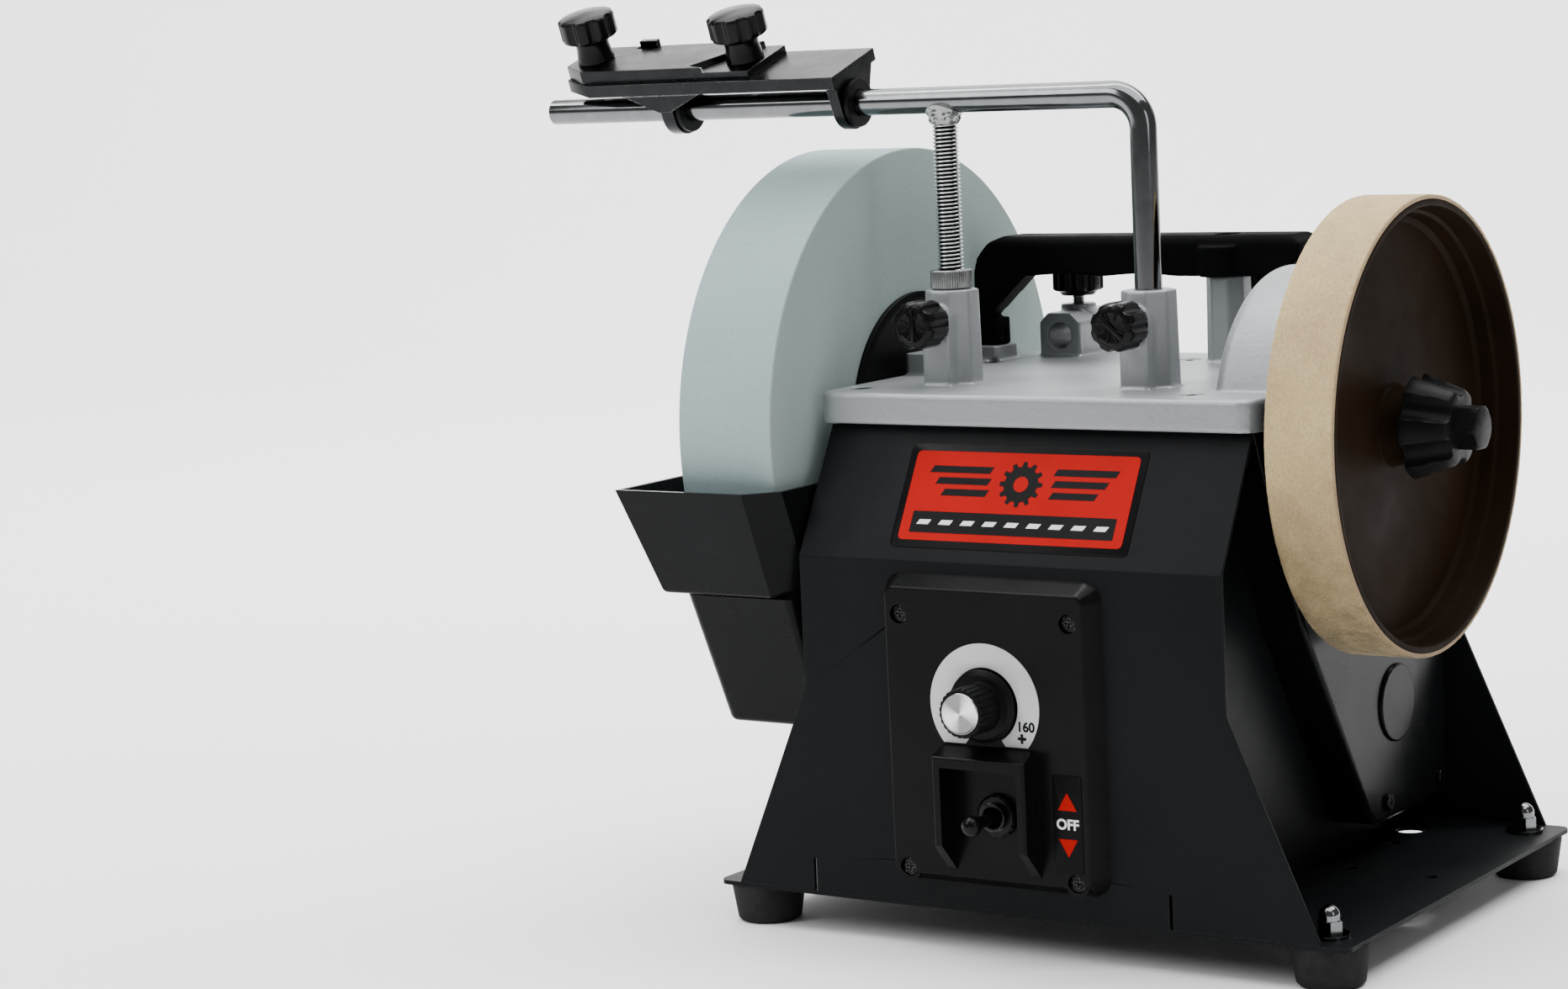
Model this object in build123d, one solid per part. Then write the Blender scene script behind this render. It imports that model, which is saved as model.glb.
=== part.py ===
from build123d import *
from math import cos, radians, sin, sqrt
import os

# Wet grinding sharpener. Millimetres, +Z up. The origin is on the floor, midway between the two side
# edges and between the front and rear panels. -Y is the front (controls), -X the grinding stone's end
# and +X the honing wheel's end.

# ---- Chassis ----
FOOT_HEIGHT = 18.0
FOOT_TOP_R = 17.0
FOOT_BOTTOM_R = 14.5
FOOT_X = 141.0
FOOT_Y = 104.0
SHEET = 2.0
BASE_X = 157.0
BASE_Y = 120.8
BASE_TOP = FOOT_HEIGHT + SHEET
PANEL_Y = 121.0
PANEL_HALF = 104.5
TOP_HALF = 101.5
FLARE_HALF = 145.0
FLARE_Z = 113.0
BEND_Z = 172.0
PANEL_TOP_Y = 88.0
LEAN_TOP_Z = 229.0
SLIT_LEFT_X = -103.5
SLIT_RIGHT_X = 76.0
SLIT_HEIGHT = 15.0
WALL_X = 79.0
GAP = 0.2

# ---- Cast top ----
CAST_LEFT = -109.0
CAST_RIGHT = 108.0
CAST_FRONT = -95.0
CAST_REAR = 95.0
CAST_BOTTOM = 228.0
CAST_TOP = 242.0
CAST_WALL = 5.0
ROOF_Z = CAST_TOP - CAST_WALL
POST_LEFT_X = -63.0
POST_RIGHT_X = 37.0
POST_Y = -50.0
POST_TOP = 284.5
POST_FLAT = 12.0
CLAMP_Z = 270.8
HANDLE_FOOT_Z = CAST_TOP + 7.0
ROD_R = 6.0
RUNNING = 0.08
LEG_HOLE_R = 6.25
SLEEVE_HOLE_R = 6.15
STUD_R = 3.0
SLEEVE_X = (-76.0, 24.0)
SLEEVE_Z = 252.0
SLEEVE_FRONT = 68.0
SLEEVE_REAR = 110.0
SLEEVE_HALF = 11.0
SLEEVE_CLAMP_Y = 88.0
SLEEVE_BOSS_TOP = 266.0
GRIP_POST_X = 21.0
GRIP_POST_Y = 57.0
GRIP_POST_TOP = 282.0
DOME_LEFT = 74.0
DOME_R = 70.0

# ---- Spindle line ----
SPINDLE_Z = 221.0
SPINDLE_R = 6.0
STONE_R = 125.0
STONE_LEFT = -164.0
STONE_RIGHT = -114.0
FLANGE_R = 58.0
BEARING_R = 16.0
BEARING_WIDTH = 10.0
BEARING_X = (-92.0, 56.0)
FACE_GAP = 0.3
HONE_R = 100.0
HONE_LEFT = 115.0
HONE_RIGHT = 146.0
LEATHER = 2.0
HONE_HUB_END = 139.7

# ---- Belt drive and motor ----
MOTOR_Y = 56.0
MOTOR_Z = 87.0
MOTOR_R = 46.0
DRIVE_R = 58.0
MOTOR_PULLEY_R = 9.0
PULLEY_LEFT = 84.0
PULLEY_RIGHT = 96.0
BELT_GAP = 0.35
BELT = 2.5
COVER_RIGHT = 100.0

# ---- Controls ----
CONTROL_X = -6.0
CONTROL_Z = 99.0
CONTROL_W = 108.0
CONTROL_H = 136.0
CONTROL_FACE_Y = -130.0
DIAL_Z = 112.5
TOGGLE_X = -1.0
TOGGLE_Z = 65.0

# ---- Tool support and jig ----
BAR_Z = 369.0
BAR_LEFT = -281.0
BEND_R = 15.0
LEG_BOTTOM = 206.0
LEG_R = 5.9
JIG_TILT = 19.0
JIG_LEFT = -266.0
JIG_RIGHT = -110.0
CLAMP_PLATE_RIGHT = -157.0
JIG_LUGS = ((-207.0, 3.5), (-112.7, 2.7))
JIG_KNOB_X = (-253.0, -168.0)

# ---- Trough ----
TROUGH_LEFT = -169.5
TROUGH_RIGHT = -110.8
TROUGH_Y = 119.0
TROUGH_BOTTOM = 88.0
TROUGH_TOP = 151.0
TRAY_LEFT = -190.0
TRAY_Y = 140.0
TRAY_TOP = 201.0


# ---- Helpers ----
def block(x0, x1, y0, y1, z0, z1):
    """Box between two corners."""
    centre = Pos((x0 + x1) / 2, (y0 + y1) / 2, (z0 + z1) / 2)
    return centre * Box(abs(x1 - x0), abs(y1 - y0), abs(z1 - z0))


def rod_x(radius, x0, x1, y=0.0, z=SPINDLE_Z):
    return Pos((x0 + x1) / 2, y, z) * Rot(0, 90, 0) * Cylinder(radius, abs(x1 - x0))


def rod_y(radius, y0, y1, x, z):
    return Pos(x, (y0 + y1) / 2, z) * Rot(90, 0, 0) * Cylinder(radius, abs(y1 - y0))


def rod_z(radius, z0, z1, x, y):
    return Pos(x, y, (z0 + z1) / 2) * Cylinder(radius, abs(z1 - z0))


def prism_x(points, x0, x1):
    """Extrude a (y, z) outline from x0 to x1."""
    return extrude(Plane.YZ.offset(x0) * Polygon(*points, align=None), amount=x1 - x0, dir=(1, 0, 0))


def prism_y(points, y0, y1):
    """Extrude an (x, z) outline from y0 to y1."""
    return extrude(Plane.XZ.offset(-y0) * Polygon(*points, align=None), amount=y1 - y0, dir=(0, 1, 0))


def prism_z(points, z0, z1):
    """Extrude an (x, y) outline from z0 to z1."""
    return extrude(Plane.XY.offset(z0) * Polygon(*points, align=None), amount=z1 - z0, dir=(0, 0, 1))


def turned_x(profile):
    """Revolve a (x, radius) outline about the spindle line."""
    points = [(x, r + SPINDLE_Z) for x, r in profile]
    face = make_face(Plane.XZ * Polyline(*points, close=True))
    return revolve(face, Axis((0, 0, SPINDLE_Z), (1, 0, 0)), 360)


def octagon_post(x, y, flat, z0, z1, draft=1.0):
    """Drafted eight-sided post with flats square to X and Y."""
    outline = Pos(x, y, z0) * RegularPolygon(flat, 8, major_radius=False, rotation=22.5)
    return extrude(outline, amount=z1 - z0, taper=draft)


def lobed_head(radius, lobes, height, notch_r, notch_out):
    """Round knob head with notches cut between its lobes, standing on z = 0."""
    head = Pos(0, 0, height / 2) * Cylinder(radius, height)
    head = fillet(head.edges().group_by(Axis.Z)[-1], height * 0.22)
    for i in range(lobes):
        angle = 360.0 / lobes * i
        head -= Rot(0, 0, angle) * Pos(radius + notch_out, 0, height / 2) * Cylinder(notch_r, height + 2)
    return head


def save(node, part):
    export_step(part, os.path.join("parts", node + ".step"))


# ---- Chassis ----
def panel_sheet():
    """Front sheet: upright lower part, leaning upper part, flared feet, two bend-relief slits."""
    inner = PANEL_Y - SHEET
    profile = [
        (-PANEL_Y, BASE_TOP),
        (-PANEL_Y, BEND_Z),
        (-PANEL_TOP_Y, LEAN_TOP_Z),
        (-PANEL_TOP_Y, ROOF_Z),
        (-PANEL_TOP_Y + SHEET, ROOF_Z),
        (-PANEL_TOP_Y + SHEET, LEAN_TOP_Z + 0.6),
        (-inner, BEND_Z + 0.6),
        (-inner, BASE_TOP),
    ]
    sheet = prism_x(profile, -FLARE_HALF, FLARE_HALF)
    bends = [e for e in sheet.edges().filter_by(Axis.X) if BEND_Z - 1 < e.center().Z < BEND_Z + 2]
    sheet = fillet(bends, 2.5)
    outline = [
        (-FLARE_HALF, BASE_TOP),
        (FLARE_HALF, BASE_TOP),
        (PANEL_HALF, FLARE_Z),
        (PANEL_HALF, CAST_BOTTOM - 1),
        (TOP_HALF, CAST_BOTTOM - 1),
        (TOP_HALF, CAST_TOP),
        (-TOP_HALF, CAST_TOP),
        (-TOP_HALF, CAST_BOTTOM - 1),
        (-PANEL_HALF, CAST_BOTTOM - 1),
        (-PANEL_HALF, FLARE_Z),
    ]
    sheet &= prism_y(outline, -PANEL_Y - 5, -PANEL_TOP_Y + 10)
    for x in (SLIT_LEFT_X, SLIT_RIGHT_X):
        sheet -= block(x - 0.75, x + 0.75, -PANEL_Y - 1, -inner + 1, BASE_TOP - 1, BASE_TOP + SLIT_HEIGHT)
    sheet += block(SLIT_LEFT_X + 0.75, SLIT_RIGHT_X - 0.75, -inner, -inner + 14, BASE_TOP, BASE_TOP + SHEET)
    return sheet


def front_panel():
    sheet = panel_sheet()
    half_w = CONTROL_W / 2 - 14
    sheet -= block(CONTROL_X - half_w, CONTROL_X + half_w, -PANEL_Y - 5, -PANEL_Y + 5, 47, 143)
    for x, z in control_screw_points():
        sheet -= rod_y(2.2, -PANEL_Y - 5, -PANEL_Y + 5, x, z)
    return sheet


def rear_panel():
    sheet = mirror(panel_sheet(), Plane.XZ)
    sheet -= rod_y(9.2, PANEL_Y - 5, PANEL_Y + 5, -60, 60)
    for i in range(8):
        x = -20 + 10 * i
        sheet -= block(x - 2, x + 2, PANEL_Y - 5, PANEL_Y + 5, 70, 120)
    return sheet


def base_plate():
    plate = block(-BASE_X, BASE_X, -BASE_Y, BASE_Y, FOOT_HEIGHT, BASE_TOP)
    plate = fillet(plate.edges().filter_by(Axis.Z), 5)
    for x, y in foot_points():
        plate -= rod_z(3.3, FOOT_HEIGHT - 1, BASE_TOP + 1, x, y)
    for x, y, radius in ((91, 88, 7), (95, 60, 4), (98, 9, 3), (137, 7, 3)):
        plate -= rod_z(radius, FOOT_HEIGHT - 1, BASE_TOP + 1, x, y)
    return plate


def wall_outline(low):
    side = PANEL_Y - SHEET - GAP
    top = PANEL_TOP_Y - SHEET - GAP
    right = [(side, low), (side, BEND_Z), (top, LEAN_TOP_Z), (top, ROOF_Z)]
    left = [(-y, z) for y, z in reversed(right)]
    return right + left


def left_wall():
    wall = prism_x(wall_outline(BASE_TOP + SHEET), -WALL_X, -WALL_X + SHEET)
    wall -= block(-WALL_X - 1, -WALL_X + SHEET + 1, -12, 12, SPINDLE_Z, CAST_TOP)
    wall -= rod_x(12, -WALL_X - 1, -WALL_X + SHEET + 1)
    return wall


def right_wall():
    wall = prism_x(wall_outline(BASE_TOP), WALL_X - SHEET, WALL_X)
    wall -= block(WALL_X - SHEET - 1, WALL_X + 1, -12, 12, SPINDLE_Z, CAST_TOP)
    wall -= rod_x(12, WALL_X - SHEET - 1, WALL_X + 1)
    wall -= rod_x(12, WALL_X - SHEET - 1, WALL_X + 1, MOTOR_Y, MOTOR_Z)
    for y, z in cover_screw_points():
        wall -= rod_x(1.9, WALL_X - SHEET - 1, WALL_X + 1, y, z)
    return wall


def belt_cover():
    """Pressed cover over the belt: slanted front edge, rounded lower corners, boss over the motor pulley."""
    top = CAST_BOTTOM - 1.5
    points = [(-76, top), (-38, 138), (30, 34), (112, 34), (112, 170), (82, top)]
    cover = prism_x(points, WALL_X, COVER_RIGHT)
    corners = [e for e in cover.edges().filter_by(Axis.X) if e.center().Z < 40]
    cover = fillet(corners, 12)
    cover = fillet(cover.faces().sort_by(Axis.X)[-1].edges(), 3)
    hollow = [(-73.3, top + 1), (-35.4, 139), (31.2, 36.5), (109.5, 36.5), (109.5, 169), (79.2, top + 1)]
    inner = prism_x(hollow, WALL_X - 1, COVER_RIGHT - 2.5)
    corners = [e for e in inner.edges().filter_by(Axis.X) if e.center().Z < 40]
    inner = fillet(corners, 9.5)
    cover -= inner
    cover -= rod_x(11, WALL_X, COVER_RIGHT + 1)
    cover -= block(WALL_X, COVER_RIGHT + 1, -11, 11, SPINDLE_Z, top + 1)
    boss = rod_x(18, COVER_RIGHT - 1, COVER_RIGHT + 1.5, MOTOR_Y, MOTOR_Z)
    boss = fillet(boss.edges().group_by(Axis.X)[-1], 1.2)
    cover += boss
    for y, z in cover_screw_points():
        cover += rod_x(5, WALL_X, COVER_RIGHT - 2, y, z)
        cover -= rod_x(1.8, WALL_X - 1, COVER_RIGHT + 2, y, z)
    return cover


def cover_screw_points():
    return [(44, 43), (102, 43), (77, 205), (-27, 143)]


def cover_screws():
    screws = []
    for y, z in cover_screw_points():
        head = rod_x(4, COVER_RIGHT, COVER_RIGHT + 2.2, y, z)
        head = fillet(head.edges().group_by(Axis.X)[-1], 1)
        head += rod_x(1.75, WALL_X - SHEET - 6, COVER_RIGHT, y, z)
        slot = block(COVER_RIGHT + 1.2, COVER_RIGHT + 3, y - 2.2, y + 2.2, z - 0.5, z + 0.5)
        cross = block(COVER_RIGHT + 1.2, COVER_RIGHT + 3, y - 0.5, y + 0.5, z - 2.2, z + 2.2)
        screws.append(head - slot - cross)
    return screws


def foot_points():
    return [(x, y) for x in (-FOOT_X, FOOT_X) for y in (-FOOT_Y, FOOT_Y)]


def rubber_feet():
    feet = []
    for x, y in foot_points():
        foot = Pos(x, y, FOOT_HEIGHT / 2) * Cone(FOOT_BOTTOM_R, FOOT_TOP_R, FOOT_HEIGHT)
        foot = fillet(foot.edges().group_by(Axis.Z)[0], 1.5)
        foot -= rod_z(6.2, -1, 6, x, y)
        foot -= rod_z(3.1, 0, FOOT_HEIGHT + 1, x, y)
        feet.append(foot)
    return feet


def foot_bolts():
    bolts = []
    for x, y in foot_points():
        bolts.append(rod_z(5.5, 2.5, 6, x, y) + rod_z(3.0, 6, BASE_TOP + 8, x, y))
    return bolts


def foot_washers():
    return [
        rod_z(8.5, BASE_TOP, BASE_TOP + 1.6, x, y) - rod_z(3.2, BASE_TOP - 1, BASE_TOP + 3, x, y)
        for x, y in foot_points()
    ]


def acorn_nuts():
    nuts = []
    low = BASE_TOP + 1.6
    for x, y in foot_points():
        hexagon = extrude(Pos(x, y, low) * RegularPolygon(5, 6, major_radius=False), amount=5.5)
        cap = Pos(x, y, low + 7.5) * Sphere(4.6)
        cap &= block(x - 6, x + 6, y - 6, y + 6, low + 5, low + 14)
        nut = hexagon + cap + rod_z(4.6, low + 5, low + 7.6, x, y)
        nut -= rod_z(3.02, low - 1, BASE_TOP + 8.05, x, y)
        nuts.append(nut)
    return nuts


# ---- Cast top ----
def clamp_pad(x):
    """Flat pad with a round top on a post's front, where the clamp screw goes in."""
    front = POST_Y - POST_FLAT - 4
    pad = block(x - 7, x + 7, front, POST_Y, CAST_TOP - 2, CLAMP_Z)
    pad += rod_y(7, front, POST_Y, x, CLAMP_Z)
    return pad


def rear_sleeve(x):
    """Horizontal sleeve block on the rear edge, with a boss for its upright clamp screw."""
    cut = 5
    top = SLEEVE_Z + SLEEVE_HALF
    outline = [
        (x - SLEEVE_HALF, CAST_TOP - 2),
        (x + SLEEVE_HALF, CAST_TOP - 2),
        (x + SLEEVE_HALF, top - cut),
        (x + SLEEVE_HALF - cut, top),
        (x - SLEEVE_HALF + cut, top),
        (x - SLEEVE_HALF, top - cut),
    ]
    sleeve = prism_y(outline, SLEEVE_FRONT, SLEEVE_REAR)
    sleeve += rod_z(8.5, SLEEVE_Z, SLEEVE_BOSS_TOP, x, SLEEVE_CLAMP_Y)
    return sleeve


def pulley_dome():
    """Half-round cover cast over the drive pulley."""
    dome = rod_x(DOME_R, DOME_LEFT, CAST_RIGHT - 2)
    dome = fillet(dome.edges().group_by(Axis.X)[0], 7)
    dome = fillet(dome.edges().group_by(Axis.X)[-1], 3)
    return dome & block(DOME_LEFT - 1, CAST_RIGHT, -100, 100, CAST_TOP - 3, 400)


def bearing_block(x):
    half = BEARING_WIDTH / 2 + 3
    outer = BEARING_R + 5
    housing = block(x - half, x + half, -outer, outer, SPINDLE_Z, CAST_TOP - 3)
    return housing + rod_x(outer, x - half, x + half)


def top_casting():
    shell = block(CAST_LEFT, CAST_RIGHT, CAST_FRONT, CAST_REAR, CAST_BOTTOM, CAST_TOP)
    shell = fillet(shell.edges().filter_by(Axis.Z), 9)
    shell = fillet(shell.faces().sort_by(Axis.Z)[-1].edges(), 2.5)
    inside = block(
        CAST_LEFT + CAST_WALL,
        CAST_RIGHT - CAST_WALL,
        CAST_FRONT + CAST_WALL,
        CAST_REAR - CAST_WALL,
        CAST_BOTTOM - 1,
        ROOF_Z,
    )
    shell -= fillet(inside.edges().filter_by(Axis.Z), 5)
    shell += pulley_dome()
    for x in BEARING_X:
        shell += bearing_block(x)
    for x in (POST_LEFT_X, POST_RIGHT_X):
        shell += octagon_post(x, POST_Y, POST_FLAT, CAST_TOP - 2, POST_TOP, 0.8)
        shell += clamp_pad(x)
    for x in SLEEVE_X:
        shell += rear_sleeve(x)
    shell += octagon_post(GRIP_POST_X, GRIP_POST_Y, 10, CAST_TOP - 2, GRIP_POST_TOP, 0.5)
    foot = block(CAST_LEFT, -96, 44, 64, CAST_TOP - 2, HANDLE_FOOT_Z)
    shell += chamfer(foot.edges().filter_by(Axis.Z), 2)
    lug = block(-107, -92, -24, -6, CAST_TOP - 2, CAST_TOP + 10)
    shell += chamfer(lug.edges().filter_by(Axis.Z), 3)
    for x, radius in ((POST_LEFT_X, LEG_HOLE_R), (POST_RIGHT_X, ROD_R + RUNNING)):
        shell -= rod_z(radius, CAST_BOTTOM - 2, POST_TOP + 1, x, POST_Y)
        shell -= rod_y(STUD_R + RUNNING, POST_Y - POST_FLAT - 6, POST_Y, x, CLAMP_Z)
    for x in SLEEVE_X:
        shell -= rod_y(SLEEVE_HOLE_R, SLEEVE_FRONT - 1, SLEEVE_REAR + 1, x, SLEEVE_Z)
        shell -= rod_z(STUD_R + RUNNING, SLEEVE_Z, SLEEVE_BOSS_TOP + 1, x, SLEEVE_CLAMP_Y)
    for x in BEARING_X:
        shell -= rod_x(BEARING_R, x - BEARING_WIDTH / 2, x + BEARING_WIDTH / 2)
        shell -= rod_x(11, x - 9, x + 9)
    shell -= rod_x(DOME_R - 5, DOME_LEFT + 4, CAST_RIGHT - 5)
    shell -= rod_x(9, DOME_LEFT, CAST_RIGHT + 1)
    shell -= rod_x(17, CAST_LEFT - 1, BEARING_X[0] - BEARING_WIDTH / 2 - 3.2)
    (post_x, post_y), (foot_x, foot_y) = handle_screw_points()
    shell -= rod_z(2.6, ROOF_Z - 1, GRIP_POST_TOP + 1, post_x, post_y)
    shell -= rod_z(2.1, ROOF_Z - 1, HANDLE_FOOT_Z + 1, foot_x, foot_y)
    for x, y in casting_screw_points():
        shell -= rod_z(2.7, CAST_BOTTOM, CAST_TOP + 1, x, y)
        shell -= rod_z(5.2, CAST_TOP - 2.5, CAST_TOP + 1, x, y)
    return shell


def casting_screw_points():
    return [(-97, 40), (-3, 62), (-97, -76), (70, -76)]


def casting_screws():
    """Socket screws sunk in the cast top, with their nuts below it."""
    screws = []
    for x, y in casting_screw_points():
        screw = rod_z(5.0, CAST_TOP - 2.5, CAST_TOP - 0.4, x, y)
        screw += rod_z(2.5, CAST_TOP - 14, CAST_TOP - 2.5, x, y)
        socket = extrude(Pos(x, y, CAST_TOP - 1.9) * RegularPolygon(2, 6, major_radius=False), amount=3)
        nut = extrude(
            Pos(x, y, ROOF_Z - 4) * RegularPolygon(4, 6, major_radius=False), amount=4
        )
        screws.append((screw - socket) + nut)
    return screws


def bearings():
    made = []
    for x in BEARING_X:
        left, right = x - BEARING_WIDTH / 2, x + BEARING_WIDTH / 2
        outer = rod_x(BEARING_R, left, right) - rod_x(12.6, left - 1, right + 1)
        inner = rod_x(8.6, left, right) - rod_x(SPINDLE_R + RUNNING, left - 1, right + 1)
        seal = rod_x(12.6, left + 1, right - 1) - rod_x(8.6, left - 1, right + 1)
        made.append(outer + seal + inner)
    return made


# ---- Handle ----
def handle_screw_points():
    return [(GRIP_POST_X, GRIP_POST_Y), (-100.4, 53.5)]


def handle():
    """Moulded carrying handle: straight grip, slanted left leg on a foot, round boss on the right post."""
    low, high = GRIP_POST_TOP, 301
    front, rear, leg_rear = 47, 74, 60
    outline = [
        (-110, HANDLE_FOOT_Z),
        (-98, HANDLE_FOOT_Z),
        (-98, HANDLE_FOOT_Z + 13),
        (-104, HANDLE_FOOT_Z + 13),
        (-82, low),
        (-60, low + 1.5),
        (-40, low),
        (-20, low + 1.5),
        (0, low),
        (50, low),
        (62, 290),
        (62, 297),
        (56, high),
        (-95, high),
        (-102, 298),
        (-108, 291),
        (-110, 284),
    ]
    grip = prism_y(outline, front, rear)
    long_edges = [e for e in grip.edges().filter_by(Axis.X) if e.center().Z > high - 1]
    grip = fillet(long_edges, 5)
    grip -= block(-112, -82, leg_rear, rear + 1, HANDLE_FOOT_Z - 1, low + 0.5)
    grip += rod_z(10, GRIP_POST_TOP, high - 5, GRIP_POST_X, GRIP_POST_Y - 8)
    (post_x, post_y), (foot_x, foot_y) = handle_screw_points()
    grip -= rod_z(2.8, 240, high + 1, post_x, post_y)
    grip -= rod_z(5.5, high - 8, high + 1, post_x, post_y)
    return grip - rod_z(2.0, HANDLE_FOOT_Z - 1, HANDLE_FOOT_Z + 10, foot_x, foot_y)


def handle_screws():
    """A socket screw down into the right post, and one up through the cast roof into the foot."""
    (post_x, post_y), (foot_x, foot_y) = handle_screw_points()
    seat = 293.0
    down = rod_z(4.6, seat, seat + 4, post_x, post_y)
    down += rod_z(2.45, ROOF_Z + 1, seat, post_x, post_y)
    down -= extrude(Pos(post_x, post_y, seat + 1.5) * RegularPolygon(2, 6, major_radius=False), amount=4)
    up = rod_z(3.2, ROOF_Z - 3.2, ROOF_Z, foot_x, foot_y)
    up += rod_z(1.9, ROOF_Z, HANDLE_FOOT_Z + 9, foot_x, foot_y)
    up -= extrude(Pos(foot_x, foot_y, ROOF_Z - 4) * RegularPolygon(1.5, 6, major_radius=False), amount=2.5)
    return [down, up]


# ---- Spindle assembly ----
def spindle():
    profile = [
        (-184, 0),
        (-184, 5),
        (-183, SPINDLE_R),
        (-81, SPINDLE_R),
        (-81, 8),
        (45, 8),
        (45, SPINDLE_R),
        (165, SPINDLE_R),
        (166, 5),
        (166, 0),
    ]
    return turned_x(profile)


def stone_bush():
    return rod_x(9, STONE_LEFT, STONE_RIGHT) - rod_x(SPINDLE_R, STONE_LEFT - 1, STONE_RIGHT + 1)


def grinding_stone():
    stone = rod_x(STONE_R, STONE_LEFT, STONE_RIGHT)
    stone = chamfer(stone.edges(), 0.6)
    return stone - rod_x(9, STONE_LEFT - 1, STONE_RIGHT + 1)


def inner_flange():
    """Thin disc against the stone, with a hub that reaches the left bearing."""
    bearing_side = BEARING_X[0] - BEARING_WIDTH / 2 - FACE_GAP
    profile = [
        (STONE_RIGHT, SPINDLE_R),
        (STONE_RIGHT, FLANGE_R),
        (STONE_RIGHT + 2.2, FLANGE_R),
        (STONE_RIGHT + 3.2, FLANGE_R - 4),
        (STONE_RIGHT + 3.2, 15),
        (bearing_side - 3.2, 12),
        (bearing_side - 3.2, 8),
        (bearing_side, 8),
        (bearing_side, SPINDLE_R),
    ]
    return turned_x(profile)


def outer_flange():
    profile = [
        (STONE_LEFT, SPINDLE_R),
        (STONE_LEFT, 38),
        (STONE_LEFT - 3, 38),
        (STONE_LEFT - 4, 35),
        (STONE_LEFT - 4, SPINDLE_R),
    ]
    return turned_x(profile)


def star_nut():
    """Conical hand nut with six lobes and a closed hexagon nose, pointing along +Z from z = 0."""
    cone = Pos(0, 0, 10) * Cone(23.5, 16.5, 20)
    for i in range(6):
        cone -= Rot(0, 0, 60 * i) * Pos(22.5, 0, 10) * Rot(0, -16, 0) * Cylinder(6.5, 50)
    nose = extrude(Pos(0, 0, 19) * RegularPolygon(9, 6, major_radius=False), amount=11)
    nose = chamfer(nose.edges().group_by(Axis.Z)[-1], 2)
    nut = cone + nose
    return nut - Pos(0, 0, 12.5) * Cylinder(SPINDLE_R, 29)


def stone_nut():
    """Flanged hexagon nut at the stone's end of the spindle."""
    nut = Pos(0, 0, 1) * Cylinder(13, 2)
    hexagon = extrude(RegularPolygon(9.5, 6, major_radius=False), amount=12)
    nut += chamfer(hexagon.edges().group_by(Axis.Z)[-1], 1)
    nut -= Pos(0, 0, 6) * Cylinder(SPINDLE_R, 20)
    return Pos(STONE_LEFT - 4, 0, SPINDLE_Z) * Rot(0, -90, 0) * nut


def honing_nut():
    return Pos(HONE_HUB_END, 0, SPINDLE_Z) * Rot(0, 90, 0) * star_nut()


def honing_wheel():
    """Open dish: web a third of the way in from each side, hub, and a rim with one step inside."""
    rim = HONE_R - LEATHER
    floor, back = HONE_LEFT + 13, HONE_LEFT + 9
    profile = [
        (HONE_LEFT, SPINDLE_R),
        (HONE_LEFT, 20),
        (back, 22),
        (back, rim - 7),
        (HONE_LEFT, rim - 4),
        (HONE_LEFT, rim),
        (HONE_RIGHT, rim),
        (HONE_RIGHT, rim - 3),
        (HONE_RIGHT - 9, rim - 4.5),
        (HONE_RIGHT - 10, rim - 6),
        (floor + 2, rim - 7),
        (floor, rim - 9),
        (floor, 18),
        (HONE_HUB_END - 2, 15.5),
        (HONE_HUB_END, 15),
        (HONE_HUB_END, SPINDLE_R),
    ]
    return turned_x(profile)


def honing_leather():
    strip = rod_x(HONE_R, HONE_LEFT, HONE_RIGHT)
    strip = fillet(strip.edges(), 0.8)
    return strip - rod_x(HONE_R - LEATHER, HONE_LEFT - 1, HONE_RIGHT + 1)


def drive_pulley():
    """Webbed pulley with a flat belt seat. Its long hub reaches the honing wheel."""
    right_bearing = BEARING_X[1] + BEARING_WIDTH / 2 + FACE_GAP
    profile = [
        (right_bearing, SPINDLE_R),
        (right_bearing, 8),
        (right_bearing + 5, 9),
        (PULLEY_LEFT - 2, 9),
        (PULLEY_LEFT, 14),
        (PULLEY_LEFT + 4, 16),
        (PULLEY_LEFT + 4, DRIVE_R - 6),
        (PULLEY_LEFT, DRIVE_R - 4),
        (PULLEY_LEFT, DRIVE_R + 2),
        (PULLEY_LEFT + 1, DRIVE_R + 2),
        (PULLEY_LEFT + 1, DRIVE_R),
        (PULLEY_RIGHT - 1, DRIVE_R),
        (PULLEY_RIGHT - 1, DRIVE_R + 2),
        (PULLEY_RIGHT, DRIVE_R + 2),
        (PULLEY_RIGHT, DRIVE_R - 4),
        (PULLEY_RIGHT - 4, DRIVE_R - 6),
        (PULLEY_RIGHT - 4, 16),
        (PULLEY_RIGHT, 14),
        (PULLEY_RIGHT, 8),
        (HONE_LEFT, 8),
        (HONE_LEFT, SPINDLE_R),
    ]
    pulley = turned_x(profile)
    for i in range(6):
        angle = radians(60 * i)
        pulley -= rod_x(9, PULLEY_LEFT, PULLEY_RIGHT, 34 * cos(angle), SPINDLE_Z + 34 * sin(angle))
    return pulley


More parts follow.
